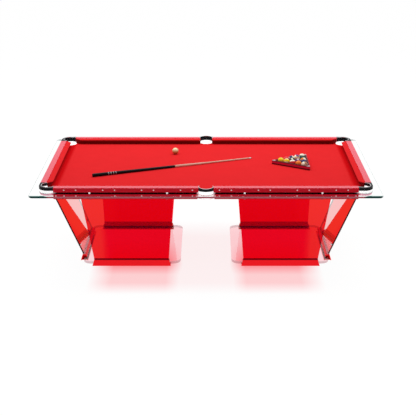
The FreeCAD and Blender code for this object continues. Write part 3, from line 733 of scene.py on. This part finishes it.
class POOLTABLE_OT_metalwork(bpy.types.Operator):
    """Rails, under-frame, feet, brackets, cups and fasteners"""
    bl_idname = "pool_table.metalwork"
    bl_label = "Metalwork"

    def execute(self, context):
        tone = colours()
        # Painted shade: the rails' faces that look down into the gap and the bars' faces that look
        # up into it are nearly black
        wear_all("rail_", lacquer_material("rail_lacquer", tone.rail, gap_shade=-1.0),
                 without=("rail_standoffs",))
        wear_all("underframe_", lacquer_material("bar_lacquer", tone.under_frame, gap_shade=1.0))
        wear_all("foot_", metal_material("foot_anodised", roughness=0.3, tint=foot_tint))
        # The seats' glint is a painted glow
        wear("panel_seats", lacquer_material("seat_strip", tone.seat, roughness=0.5, gain=0.05,
                                             tint=seat_tint, glint=0.25))
        wear_all("pocket_bracket_", lacquer_material("black_casting", tone.casting,
                                                     roughness=0.25, gain=0.02))
        # The cups' glint is a painted glow
        wear_all("pocket_cup_", metal_material("spun_cup", roughness=0.45, tint=cup_tint,
                                               glint=0.24))
        wear("button_screws", metal_material("screw_steel", (0.80, 0.50, 0.53), roughness=0.3))
        wear("through_bolts", metal_material("bolt_steel", (0.10, 0.10, 0.11), roughness=0.35))
        bright = metal_material("polished_steel")
        for name in ("pocket_rims", "rail_standoffs", "panel_studs"):
            wear(name, bright)
        return {"FINISHED"}


class POOLTABLE_OT_seals(bpy.types.Operator):
    """Dark strips along the bars' inner edges, under the bed plate"""
    bl_idname = "pool_table.seals"
    bl_label = "Gap seals"

    def execute(self, context):
        top = GLASS_UNDER - SEAL_GAP
        section = rounded_outline([(SEAL_NEAR, SEAL_BOTTOM), (SEAL_NEAR, top), (SEAL_FAR, top),
                                   (SEAL_FAR, SEAL_BOTTOM)], [SEAL_ROUND] * 4, 4)
        skins = []
        for start, stop in ((-SEAL_END_X, -SEAL_START_X), (SEAL_START_X, SEAL_END_X)):
            for side in (-1, 1):
                skins.append(closed_skin(self.strip(section, BACK_Y, start, stop) * (1, side, 1)))
        across = self.strip(section, BACK_X, -SEAL_END_Y, SEAL_END_Y)[..., [1, 0, 2]]
        for side in (-1, 1):
            skins.append(closed_skin(across * (side, 1, 1)))
        material, tree = new_material("seal_rubber")
        marks = noise(tree, object_place(tree), 60.0)
        tint = shaded(tree, (0.022, 0.001, 0.0015), spread(tree, marks, 0.3, 1.0), 0.4)
        finish_with(tree, result(tree, "BsdfPrincipled", {"Base Color": tint, "Roughness": 0.6}))
        new_piece("gap_seals", *joined(skins), "table", "seat_strip", material)
        return {"FINISHED"}

    def strip(self, section, back, start, stop):
        """A section carried along x, its y measured outwards from a rail's inner face."""
        x, y = np.broadcast_arrays(np.linspace(start, stop, SEAL_STEPS)[:, None],
                                   section[:, 0] + back)
        return np.stack([x, y, np.broadcast_to(section[:, 1], x.shape)], axis=-1)


# ------------------------------------------------------------------ cloth

class POOLTABLE_OT_bed_cloth(bpy.types.Operator):
    """The cloth stretched over the bed and turned down at the pockets"""
    bl_idname = "pool_table.bed_cloth"
    bl_label = "Bed cloth"

    def execute(self, context):
        wear("bed_pad", cloth_material("bed_backing", darker(colours().cloth, 0.5)))
        rings, area = self.sections(sizes())
        points, faces = closed_skin(rings)
        # The bed's cloth carries painted shade before the cushions' noses
        cloth = new_piece("bed_cover", points, faces, "table", "bed_cloth",
                          cloth_material("bed_worsted", colours().cloth, noses=True))
        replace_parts(cloth, "bed_cloth")
        return {"FINISHED"}

    def sections(self, size):
        """Closed cross sections of the cloth at steps along x, and its flat area. A section runs
        along y from -w(x) to w(x) on top and back below. The half width w is the cloth's own, or
        where a pocket's lip of radius r takes it away, the pocket's y less the square root of
        r squared less the square of the distance along x. Within a few millimetres of the lip
        the cloth turns down by a quarter ellipse."""
        lip = size.pocket_radius + LIP_GAP
        turn = np.linspace(0, math.pi / 2, 16)
        corner = CORNER_X - lip * np.cos(turn)
        tail = np.linspace(CORNER_X, BED_HALF_X, 6)[1:]
        before = CORNER_X - lip - LIP_STEPS
        side = lip * np.sin(np.linspace(0, math.pi / 2, 14))
        along = np.linspace(side[-1] + 0.02, before[0] - 0.02, 60)
        half = np.unique(np.concatenate([side, along, before, corner, tail]))
        x = np.concatenate([-half[:0:-1], half])
        width = np.full_like(x, BED_HALF_Y)
        for centre_x, centre_y in ((CORNER_X, CORNER_Y), (0.0, SIDE_Y)):
            reach = lip ** 2 - (np.abs(x) - centre_x) ** 2
            mouth = centre_y - np.sqrt(np.maximum(reach, 0))
            width = np.where(reach >= 0, np.minimum(width, mouth), width)
        inner = np.linspace(0, 1, 12)[1:-1] * (BED_HALF_Y - EDGE_STEPS[-1])
        share = np.concatenate([EDGE_STEPS, BED_HALF_Y - inner[::-1]])
        y = np.maximum(width[:, None] - share[None, :] * width[:, None] / BED_HALF_Y, 0.0)
        y = np.concatenate([y, -y[:, ::-1]], axis=1)
        across = np.broadcast_to(x[:, None], y.shape)
        drop = np.zeros_like(y)
        for centre_x, centre_y in ((CORNER_X, CORNER_Y), (0.0, SIDE_Y)):
            past = np.hypot(np.abs(across) - centre_x, np.abs(y) - centre_y) - lip
            part = np.clip(1 - past / LIP_ROLL, 0, 1)
            drop = np.maximum(drop, LIP_DROP * (1 - np.sqrt(1 - part ** 2)))
        top = np.stack([across, y, BED_TOP - drop], axis=-1)
        under = np.stack([across, y, BED_UNDER + UNDER_LIFT - drop], axis=-1)[:, ::-1]
        area = float(np.trapz(2 * width, x))
        return np.concatenate([top, under], axis=1), area


class POOLTABLE_OT_cushions(bpy.types.Operator):
    """Six cloth-covered cushions with folded ends"""
    bl_idname = "pool_table.cushions"
    bl_label = "Cushions"

    def execute(self, context):
        # The cushions' cloth carries painted shade in the undercut
        cloth = cloth_material("cushion_worsted", colours().cloth, undercut=True)
        long_rings = cushion_rings(SIDE_NOSE_X, CORNER_NOSE_X, SIDE_FACING, CORNER_FACING,
                                   side_bore, lambda y: corner_limit(y, True))
        end_rings = cushion_rings(-CORNER_NOSE_Y, CORNER_NOSE_Y, CORNER_FACING, CORNER_FACING,
                                  lambda x: -corner_limit(x, False),
                                  lambda x: corner_limit(x, False))
        for name in QUARTERS:
            rings = long_rings + np.array([0.0, BACK_Y, 0.0])
            rings = rings * np.array([1 if "right" in name else -1, 1 if "back" in name else -1, 1])
            self.cover(name, rings, cloth)
        for name, sign in (("right", 1), ("left", -1)):
            x = (end_rings[..., 1] + BACK_X) * sign
            rings = np.stack([x, end_rings[..., 0], end_rings[..., 2]], axis=-1)
            self.cover(name, rings, cloth)
        return {"FINISHED"}

    def cover(self, name, rings, cloth):
        points, faces = closed_skin(rings)
        piece = new_piece(f"cushion_cover_{name}", points, faces, "table", "cushion_cloth", cloth)
        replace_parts(piece, f"cushion_{name}")


def side_bore(depth):
    """Where the side pocket's bore meets a long cushion at a depth from its back."""
    reach = sizes().pocket_radius ** 2 - (SIDE_Y - BACK_Y - depth) ** 2
    return np.sqrt(np.maximum(reach, 0.0)) + COVER_GAP


def corner_limit(depth, on_long):
    """Where the corner pocket's bore or its bracket's inner face stops a cushion at a depth from
    its back, along the cushion."""
    if on_long:
        centre, off, wall = CORNER_X, CORNER_Y - BACK_Y, RAIL_END_X
        slope = (BACK_X - RAIL_END_X) / (BACK_Y - RAIL_END_Y)
    else:
        centre, off, wall = CORNER_Y, CORNER_X - BACK_X, RAIL_END_Y
        slope = (BACK_Y - RAIL_END_Y) / (BACK_X - RAIL_END_X)
    reach = sizes().pocket_radius ** 2 - (depth - off) ** 2
    bore = np.where(reach > 0, centre - np.sqrt(np.maximum(reach, 0.0)), centre)
    return np.minimum(bore, wall - slope * depth) - COVER_GAP


def cushion_rings(start, end, start_angle, end_angle, start_limit, end_limit):
    """Closed sections of a cushion that lies along x with its back at y = 0 and its nose at
    -depth. Each point of the section runs straight from one end face to the other. An end face
    leans by its facing angle, so its place along x grows with the distance behind the nose over
    the angle's tangent, up to where the pocket stops it. Within a fold radius of an end the
    section shrinks along a quarter circle, which rounds the folded cloth over the facing's edge."""
    section = cushion_section()
    depth = section[:, 0]
    behind = depth + CUSHION_DEPTH
    low = np.maximum(start - behind / math.tan(start_angle), start_limit(depth))
    high = np.minimum(end + behind / math.tan(end_angle), end_limit(depth))
    outward = section - section.mean(axis=0)
    outward /= np.linalg.norm(outward, axis=1)[:, None]
    turn = np.linspace(0, math.pi / 2, 6)
    span = np.linspace(0, 1, 26)[1:-1]
    step = FOLD_RADIUS * (1 - np.cos(turn))
    inset = FOLD_RADIUS * (1 - np.sin(turn))
    share = np.concatenate([0 * turn, span, 0 * turn + 1])
    shift = np.concatenate([step, FOLD_RADIUS * (1 - 2 * span), -step[::-1]])
    shrink = np.concatenate([inset, 0 * span, inset[::-1]])
    x = low + share[:, None] * (high - low) + shift[:, None]
    across = section - shrink[:, None, None] * outward
    return np.concatenate([x[..., None], across], axis=-1)


def cushion_section():
    """The cushion's outline in depth and height: flat foot and back, a top that falls to a round
    nose, and an undercut face below it."""
    back, nose = -COVER_INSET, COVER_INSET - CUSHION_DEPTH
    corners = [(back, BED_TOP + COVER_INSET), (back, CUSHION_TOP - COVER_BELOW),
               (nose, CUSHION_TOP - NOSE_FALL), (nose, BED_TOP + NOSE_FOOT),
               (-UNDERCUT_FOOT, BED_TOP + COVER_INSET)]
    return rounded_outline(corners, CUSHION_RADII, 6)


# ------------------------------------------------------------------ playing set

# Balls' colours by number, with 0 for the black of the eight. A striped ball has the colour of
# the number eight below its own.
BALL_TONES = {
    1: (1.0, 0.70, 0.008), 2: (0.010, 0.018, 0.14), 3: (0.88, 0.02, 0.03), 4: (0.16, 0.02, 0.22),
    5: (1.0, 0.24, 0.02), 6: (0.004, 0.055, 0.040), 7: (0.52, 0.24, 0.12), 0: (0.006, 0.006, 0.007),
}
# Racked balls, row by row from the apex and in each row from the front: a ball's number, and the
# way that its stripe's pole points, or a plain ball's number
RACKED = (
    (1, (0.9, -0.3, 0.2)),
    (9, (0.15, 0.75, 0.65)), (3, (0.8, 0.6, -0.2)),
    (11, (-0.1, 0.30, 0.95)), (8, (-0.1, -0.45, 0.85)), (10, (0.9, 0.1, 0.35)),
    (5, (0.9, 0.3, -0.2)), (4, (0.0, -0.35, 0.94)), (7, (0.8, 0.6, -0.2)), (12, (0.95, 0.3, -0.1)),
    (15, (-0.90, -0.30, 0.30)), (2, (0.8, 0.6, -0.1)), (13, (0.85, 0.0, 0.50)),
    (6, (0.8, 0.5, -0.2)), (14, (0.05, 0.25, 0.95)),
)
RACK_APEX = (0.665, 0.036)
ROW_STEP, PLACE_STEP = 0.04975, 0.05745
RACK_MIDDLE = (RACK_APEX[0] + ROW_STEP * 8 / 3, RACK_APEX[1])

# A ball's rings, its stripe and number disc as angles, the disc's skirt and rise over the skin,
# and the number's rise and its size against the disc
BALL_COLUMNS, DISC_COLUMNS, POLE_REACH = 56, 32, 1.53
STRIPE_REACH, DISC_REACH = math.radians(27), math.radians(19)
DISC_SKIRT, DISC_RISE, NUMBER_RISE, NUMBER_SIZE = 0.0002, 0.00004, 0.0001, 1.15

# Rack: its wall, its height, its corners outside, inside and along the wall's edges, and the
# heights and reach between which its tones turn
RACK_WALL, RACK_HEIGHT, RACK_CLEARANCE = 0.012, 0.034, 0.003
RACK_OUTSIDE, RACK_INSIDE, RACK_EDGE, RACK_SOLE = 0.008, 0.020, 0.0028, 0.001
RACK_RISE = (PLAY_LEVEL + 0.005, PLAY_LEVEL + 0.014)
RACK_FALL = (PLAY_LEVEL + RACK_HEIGHT - 0.004, PLAY_LEVEL + RACK_HEIGHT - 0.008)
RACK_TOP = (PLAY_LEVEL + RACK_HEIGHT - 0.0012, PLAY_LEVEL + RACK_HEIGHT - 0.0004)
RACK_CORNER = (0.178, 0.190)

# Cue: its place, and from its butt end the rings, the joint, the taper's length and the ferrule
CUE_LENGTH, CUE_MIDDLE, CUE_TURN = 1.474, (-0.281, -0.0685), math.radians(20.3)
CUE_RINGS, RING_LENGTH, RING_SINK, RING_RISE = (0.138, 0.160, 0.182, 0.204), 0.007, 0.0007, 0.00005
CUE_JOINT, FERRULE, TAPER = 0.743, 1.448, 0.350
BUTT_RADIUS, JOINT_RADIUS, TIP_RADIUS = 0.0142, 0.0104, 0.0065
CUE_COLUMNS, TIP_CHALKED = 32, (CUE_LENGTH / 2 - 0.0065, CUE_LENGTH / 2 - 0.0060)


def axes_for(pole):
    """A unit pole and two unit directions square to it."""
    pole = np.asarray(pole, float) / np.linalg.norm(pole)
    side = np.cross((0.0, 0.0, 1.0) if abs(pole[2]) < 0.9 else (0.0, 1.0, 0.0), pole)
    side /= np.linalg.norm(side)
    return pole, side, np.cross(pole, side)


def sphere_rings(radius, pole, latitudes, columns=BALL_COLUMNS):
    """Rings of a sphere about its centre: at latitude f and longitude t a point is
    radius (sin f pole + cos f (cos t side + sin t up))."""
    pole, side, up = axes_for(pole)
    turn = np.arange(columns) * 2 * math.pi / columns
    round_it = np.cos(turn)[:, None] * side + np.sin(turn)[:, None] * up
    return radius * (np.sin(latitudes)[:, None, None] * pole
                     + np.cos(latitudes)[:, None, None] * round_it[None])


def number_points(text):
    """Points and faces of a number's flat shape, about a unit high and centred, cut fine enough
    to follow a ball."""
    curve = bpy.data.curves.new("number", "FONT")
    curve.body = text
    curve.align_x, curve.align_y = "CENTER", "CENTER"
    curve.resolution_u = 3
    holder = bpy.data.objects.new("number", curve)
    mesh = bpy.data.meshes.new_from_object(holder)
    shape = bmesh.new()
    shape.from_mesh(mesh)
    bmesh.ops.remove_doubles(shape, verts=shape.verts, dist=1e-5)
    bmesh.ops.subdivide_edges(shape, edges=shape.edges, cuts=2, use_grid_fill=True)
    points = np.array([v.co[:2] for v in shape.verts])
    faces = [[v.index for v in f.verts] for f in shape.faces]
    shape.free()
    bpy.data.objects.remove(holder)
    bpy.data.meshes.remove(mesh)
    bpy.data.curves.remove(curve)
    return points - (points.max(axis=0) + points.min(axis=0)) / 2, faces


class POOLTABLE_OT_balls(bpy.types.Operator):
    """Fifteen numbered balls in their rack's rows, and the cue ball"""
    bl_idname = "pool_table.balls"
    bl_label = "Balls"

    def execute(self, context):
        radius = sizes().ball_radius
        white = resin_material("resin_white", (1.0, 0.95, 0.76))
        black = resin_material("resin_ink", BALL_TONES[0])
        tones = {n: resin_material(f"resin_{n}", c) for n, c in BALL_TONES.items()}
        spots = [(row, place) for row in range(5) for place in range(row + 1)]
        for (row, place), (number, pole) in zip(spots, RACKED):
            centre = (RACK_APEX[0] + row * ROW_STEP,
                      RACK_APEX[1] + (place - row / 2) * PLACE_STEP, PLAY_LEVEL + radius)
            points, faces, kinds = self.numbered_ball(radius, number, pole)
            ball = new_piece(f"ball_{number}", points + centre, faces, "object_balls", "ball_resin",
                             tones[number % 8], white, black)
            ball.data.polygons.foreach_set("material_index", kinds)
            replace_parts(ball, "object_balls")
        latitudes = np.linspace(-POLE_REACH, POLE_REACH, 36)
        points, faces = closed_skin(sphere_rings(radius, (0, 0, 1), latitudes))
        low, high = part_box("cue_ball")
        middle = [(float(a) + float(b)) / 2 for a, b in zip(low, high)]
        ball = new_piece("ball_white", points + middle, faces, "cue_ball", "cue_ball",
                         resin_material("resin_ivory", colours().ivory))
        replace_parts(ball, "cue_ball")
        return {"FINISHED"}

    def numbered_ball(self, radius, number, pole):
        """Points, faces and material numbers of a ball: its skin with the stripe as a band of
        rings, a disc laid over it and the number on the disc."""
        striped = number > 8
        band = np.linspace(-STRIPE_REACH, STRIPE_REACH, 14)
        cap = np.linspace(STRIPE_REACH, POLE_REACH, 12)[1:]
        latitudes = np.concatenate([-cap[::-1], band, cap])
        skin = closed_skin(sphere_rings(radius, pole, latitudes))
        middle = np.arange(len(latitudes) - 1)
        white = (middle < len(cap)) | (middle >= len(cap) + len(band) - 1)
        kinds = np.repeat(np.where(striped & white, 1, 0), BALL_COLUMNS)
        kinds = np.concatenate([kinds, np.full(len(skin[1]) - len(kinds), int(striped))])
        along, side, _ = axes_for(pole)
        facing = side if striped else along
        skirt = sphere_rings(radius - DISC_SKIRT, facing, np.array([math.pi / 2 - DISC_REACH]),
                             DISC_COLUMNS)
        face = sphere_rings(radius + DISC_RISE, facing,
                            math.pi / 2 - np.linspace(DISC_REACH, 0.02, 6), DISC_COLUMNS)
        disc = closed_skin(np.concatenate([skirt, face]))
        flat, number_faces = number_points(str(number))
        face_on, right, over = axes_for(facing)
        reach = math.tan(DISC_REACH) * NUMBER_SIZE
        ink = face_on + flat[:, :1] * reach * right + flat[:, 1:] * reach * over
        ink *= (radius + NUMBER_RISE) / np.linalg.norm(ink, axis=1)[:, None]
        points, faces = joined([skin, disc, (ink, number_faces)])
        kinds = np.concatenate([kinds, np.full(len(disc[1]), 1), np.full(len(number_faces), 2)])
        return points, faces, kinds.astype(np.int32)


class POOLTABLE_OT_rack(bpy.types.Operator):
    """The three-sided rack round the balls"""
    bl_idname = "pool_table.rack"
    bl_label = "Rack"

    def execute(self, context):
        foot = float(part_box("rack")[0][2])
        inner = ROW_STEP * 4 / 3 + sizes().ball_radius + RACK_CLEARANCE
        middle = np.array(RACK_MIDDLE)
        turn = np.radians([60, 300, 180])
        spoke = 2 * np.stack([np.cos(turn), np.sin(turn)], axis=1)
        outside = rounded_outline(spoke * (inner + RACK_WALL), [RACK_OUTSIDE] * 3, 12) + middle
        inside = rounded_outline(spoke * inner, [RACK_INSIDE] * 3, 12) + middle
        wall = rounded_outline([(0, 0), (0, RACK_HEIGHT), (RACK_WALL, RACK_HEIGHT), (RACK_WALL, 0)],
                               [RACK_SOLE, RACK_EDGE, RACK_EDGE, RACK_SOLE], 5)
        share = (wall[:, 0] / RACK_WALL)[:, None, None]
        flat = outside[None] * (1 - share) + inside[None] * share
        height = np.broadcast_to(wall[:, 1][:, None, None] + foot, flat.shape[:2] + (1,))
        points, faces = closed_loop(np.concatenate([flat, height], axis=-1))
        rack = new_piece("rack_moulding", points, faces, "rack", "rack_plastic",
                         lacquer_material("rack_gloss", colours().rack, roughness=0.2,
                                          gain=0.03, tint=rack_tint))
        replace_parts(rack, "rack")
        return {"FINISHED"}


def rack_tint(tree):
    """Magenta-red sides, a painted reflection of the red cloth on the black moulding, between
    near-black edges, a deep maroon top and pale rosy corners.
    """
    x, y, z = axes(tree)
    within = times(tree, step_up(tree, z, *RACK_RISE), step_up(tree, z, *RACK_FALL))
    # Painted reflection of the red cloth between the near-black edges
    side = mix_colour(tree, within, (0.06, 0.002, 0.004), colours().rack)
    corner = step_up(tree, distance(tree, x, y, RACK_MIDDLE), *RACK_CORNER)
    top = mix_colour(tree, corner, (0.16, 0.012, 0.025), (0.62, 0.36, 0.40))
    return mix_colour(tree, step_up(tree, z, *RACK_TOP), side, top)


def closed_loop(rings):
    """Points and faces of a skin through closed rings that themselves close on the first."""
    rows, columns = rings.shape[:2]
    points = rings.reshape(-1, 3)
    faces = grid_faces(rows + 1, columns) % (rows * columns)
    a, b, c = (points[faces[:, k]] for k in range(3))
    d = points[faces[:, 3]]
    volume = np.einsum("ij,ij->", a, np.cross(b, c)) + np.einsum("ij,ij->", a, np.cross(c, d))
    return points, (faces[:, ::-1] if volume < 0 else faces).tolist()


class POOLTABLE_OT_cue(bpy.types.Operator):
    """The cue: black butt with inlaid rings, maple shaft, ferrule and tip"""
    bl_idname = "pool_table.cue"
    bl_label = "Cue"

    def execute(self, context):
        # A part's profile is its distances from the butt's end, each with the radius there:
        # rounded ends, a groove near the butt's end, and a joint a hair narrower than the butt
        end, neck, tip = BUTT_RADIUS, JOINT_RADIUS - 0.0003, TIP_RADIUS
        self.turned("cue_handle", "cue_butt", "cue_butt", [
            (0.0002, end - 0.005), (0.0004, end - 0.0035), (0.0012, end - 0.002),
            (0.003, end - 0.0006), (0.006, end - 0.0001), (0.011, self.radius(0.011)),
            (0.012, end - 0.0006), (0.013, self.radius(0.013)), (0.35, self.radius(0.35)),
            (CUE_JOINT - 0.016, self.radius(CUE_JOINT - 0.016)), (CUE_JOINT - 0.015, neck),
            (CUE_JOINT - 0.0005, neck), (CUE_JOINT, JOINT_RADIUS - 0.001)],
            lacquer_material("butt_lacquer", (0.004, 0.003, 0.004), roughness=0.15, gain=0.03))
        self.turned("cue_taper", "cue_shaft", "cue_maple", [
            (CUE_JOINT, JOINT_RADIUS - 0.001), (CUE_JOINT + 0.0005, JOINT_RADIUS),
            (CUE_JOINT + 0.12, 0.0097), (FERRULE - TAPER, tip + 0.0001), (FERRULE - 0.01, tip),
            (FERRULE, tip)],
            lacquer_material("maple_lacquer", colours().maple, roughness=0.25, gain=0.2,
                             tint=maple_tint))
        self.turned("cue_ferrule", "cue_tip", "cue_tip", [
            (FERRULE, tip), (CUE_LENGTH - 0.0062, tip), (CUE_LENGTH - 0.006, tip - 0.0003),
            (CUE_LENGTH - 0.0035, tip - 0.0002), (CUE_LENGTH - 0.0015, tip - 0.002),
            (CUE_LENGTH - 0.0004, tip - 0.0045)],
            lacquer_material("ferrule_white", (0.8, 0.78, 0.75), roughness=0.3, gain=0.2,
                             tint=ferrule_tint))
        skins = []
        for start in CUE_RINGS:
            stop = start + RING_LENGTH
            first, last = self.radius(start), self.radius(stop)
            skins.append(closed_loop(self.lathe([
                (start, first - RING_SINK), (start, first + RING_RISE),
                (stop, last + RING_RISE), (stop, last - RING_SINK)])))
        rings = new_piece("cue_inlays", *joined(skins), "cue", "cue_rings",
                          metal_material("ring_steel", (0.30, 0.30, 0.30), roughness=0.3))
        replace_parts(rings, "cue_rings")
        return {"FINISHED"}

    def radius(self, s):
        """The butt's radius at a distance from its end: an even taper to the joint."""
        return BUTT_RADIUS - (BUTT_RADIUS - JOINT_RADIUS) * s / CUE_JOINT

    def lathe(self, profile):
        """Rings of a profile of (distance, radius) turned round the cue's axis, which dips by the
        difference of its end radii over its length and lies turned on the cloth."""
        profile = np.asarray(profile, float)
        turn = np.arange(CUE_COLUMNS) * 2 * math.pi / CUE_COLUMNS
        s = profile[:, :1] - CUE_LENGTH / 2
        y, z = profile[:, 1:] * np.cos(turn), profile[:, 1:] * np.sin(turn)
        dip = math.atan((BUTT_RADIUS - TIP_RADIUS) / CUE_LENGTH)
        forward = s * math.cos(dip) + z * math.sin(dip)
        up = z * math.cos(dip) - s * math.sin(dip)
        x = forward * math.cos(CUE_TURN) - y * math.sin(CUE_TURN) + CUE_MIDDLE[0]
        y = forward * math.sin(CUE_TURN) + y * math.cos(CUE_TURN) + CUE_MIDDLE[1]
        level = PLAY_LEVEL + (BUTT_RADIUS + TIP_RADIUS) / 2
        return np.stack([x, y, up + level], axis=-1)

    def turned(self, name, node, slot, profile, material):
        points, faces = closed_skin(self.lathe(profile))
        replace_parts(new_piece(name, points, faces, "cue", slot, material), node)


def along_cue(tree):
    """Object coordinates turned so that x runs along the cue from its middle."""
    place = add(tree, "TexCoord").outputs["Object"]
    return result(tree, "Mapping", {"Vector": place, "Location": (*CUE_MIDDLE, 0.0),
                                    "Rotation": (0.0, 0.0, CUE_TURN)}, vector_type="TEXTURE")


def maple_tint(tree):
    """Pale maple with long fine grain."""
    grain = result(tree, "Mapping", {"Vector": along_cue(tree), "Scale": (4.0, 160.0, 160.0)})
    return shaded(tree, colours().maple, spread(tree, noise(tree, grain, 1.0, 5.0), 0.2, 1.0), 0.3)


def ferrule_tint(tree):
    """White ferrule with a blue-grey chalked tip."""
    chalked = step_up(tree, axes(tree, along_cue(tree))[0], *TIP_CHALKED)
    return mix_colour(tree, chalked, (0.80, 0.78, 0.75), (0.12, 0.20, 0.30))


# ------------------------------------------------------------------ panel and registration

OPERATORS = (POOLTABLE_OT_stage, POOLTABLE_OT_glass, POOLTABLE_OT_metalwork,
             POOLTABLE_OT_seals, POOLTABLE_OT_bed_cloth, POOLTABLE_OT_cushions, POOLTABLE_OT_balls,
             POOLTABLE_OT_rack, POOLTABLE_OT_cue)


class POOLTABLE_PT_sidebar(bpy.types.Panel):
    """Lists the table's operators"""
    bl_label = "Pool Table"
    bl_idname = "POOLTABLE_PT_sidebar"
    bl_space_type = "VIEW_3D"
    bl_region_type = "UI"
    bl_category = "Pool Table"

    def draw(self, context):
        for operator in OPERATORS:
            self.layout.operator(operator.bl_idname)


CLASSES = (PoolTableColours, PoolTableSizes, *OPERATORS, POOLTABLE_PT_sidebar)


def register():
    for item in CLASSES:
        bpy.utils.register_class(item)
    bpy.types.Scene.pool_table_colours = PointerProperty(type=PoolTableColours)
    bpy.types.Scene.pool_table_sizes = PointerProperty(type=PoolTableSizes)


def unregister():
    del bpy.types.Scene.pool_table_sizes
    del bpy.types.Scene.pool_table_colours
    for item in reversed(CLASSES):
        bpy.utils.unregister_class(item)


def main():
    register()
    for operator in OPERATORS:
        getattr(bpy.ops.pool_table, operator.bl_idname.split(".")[1])()


if __name__ == "__main__":
    main()
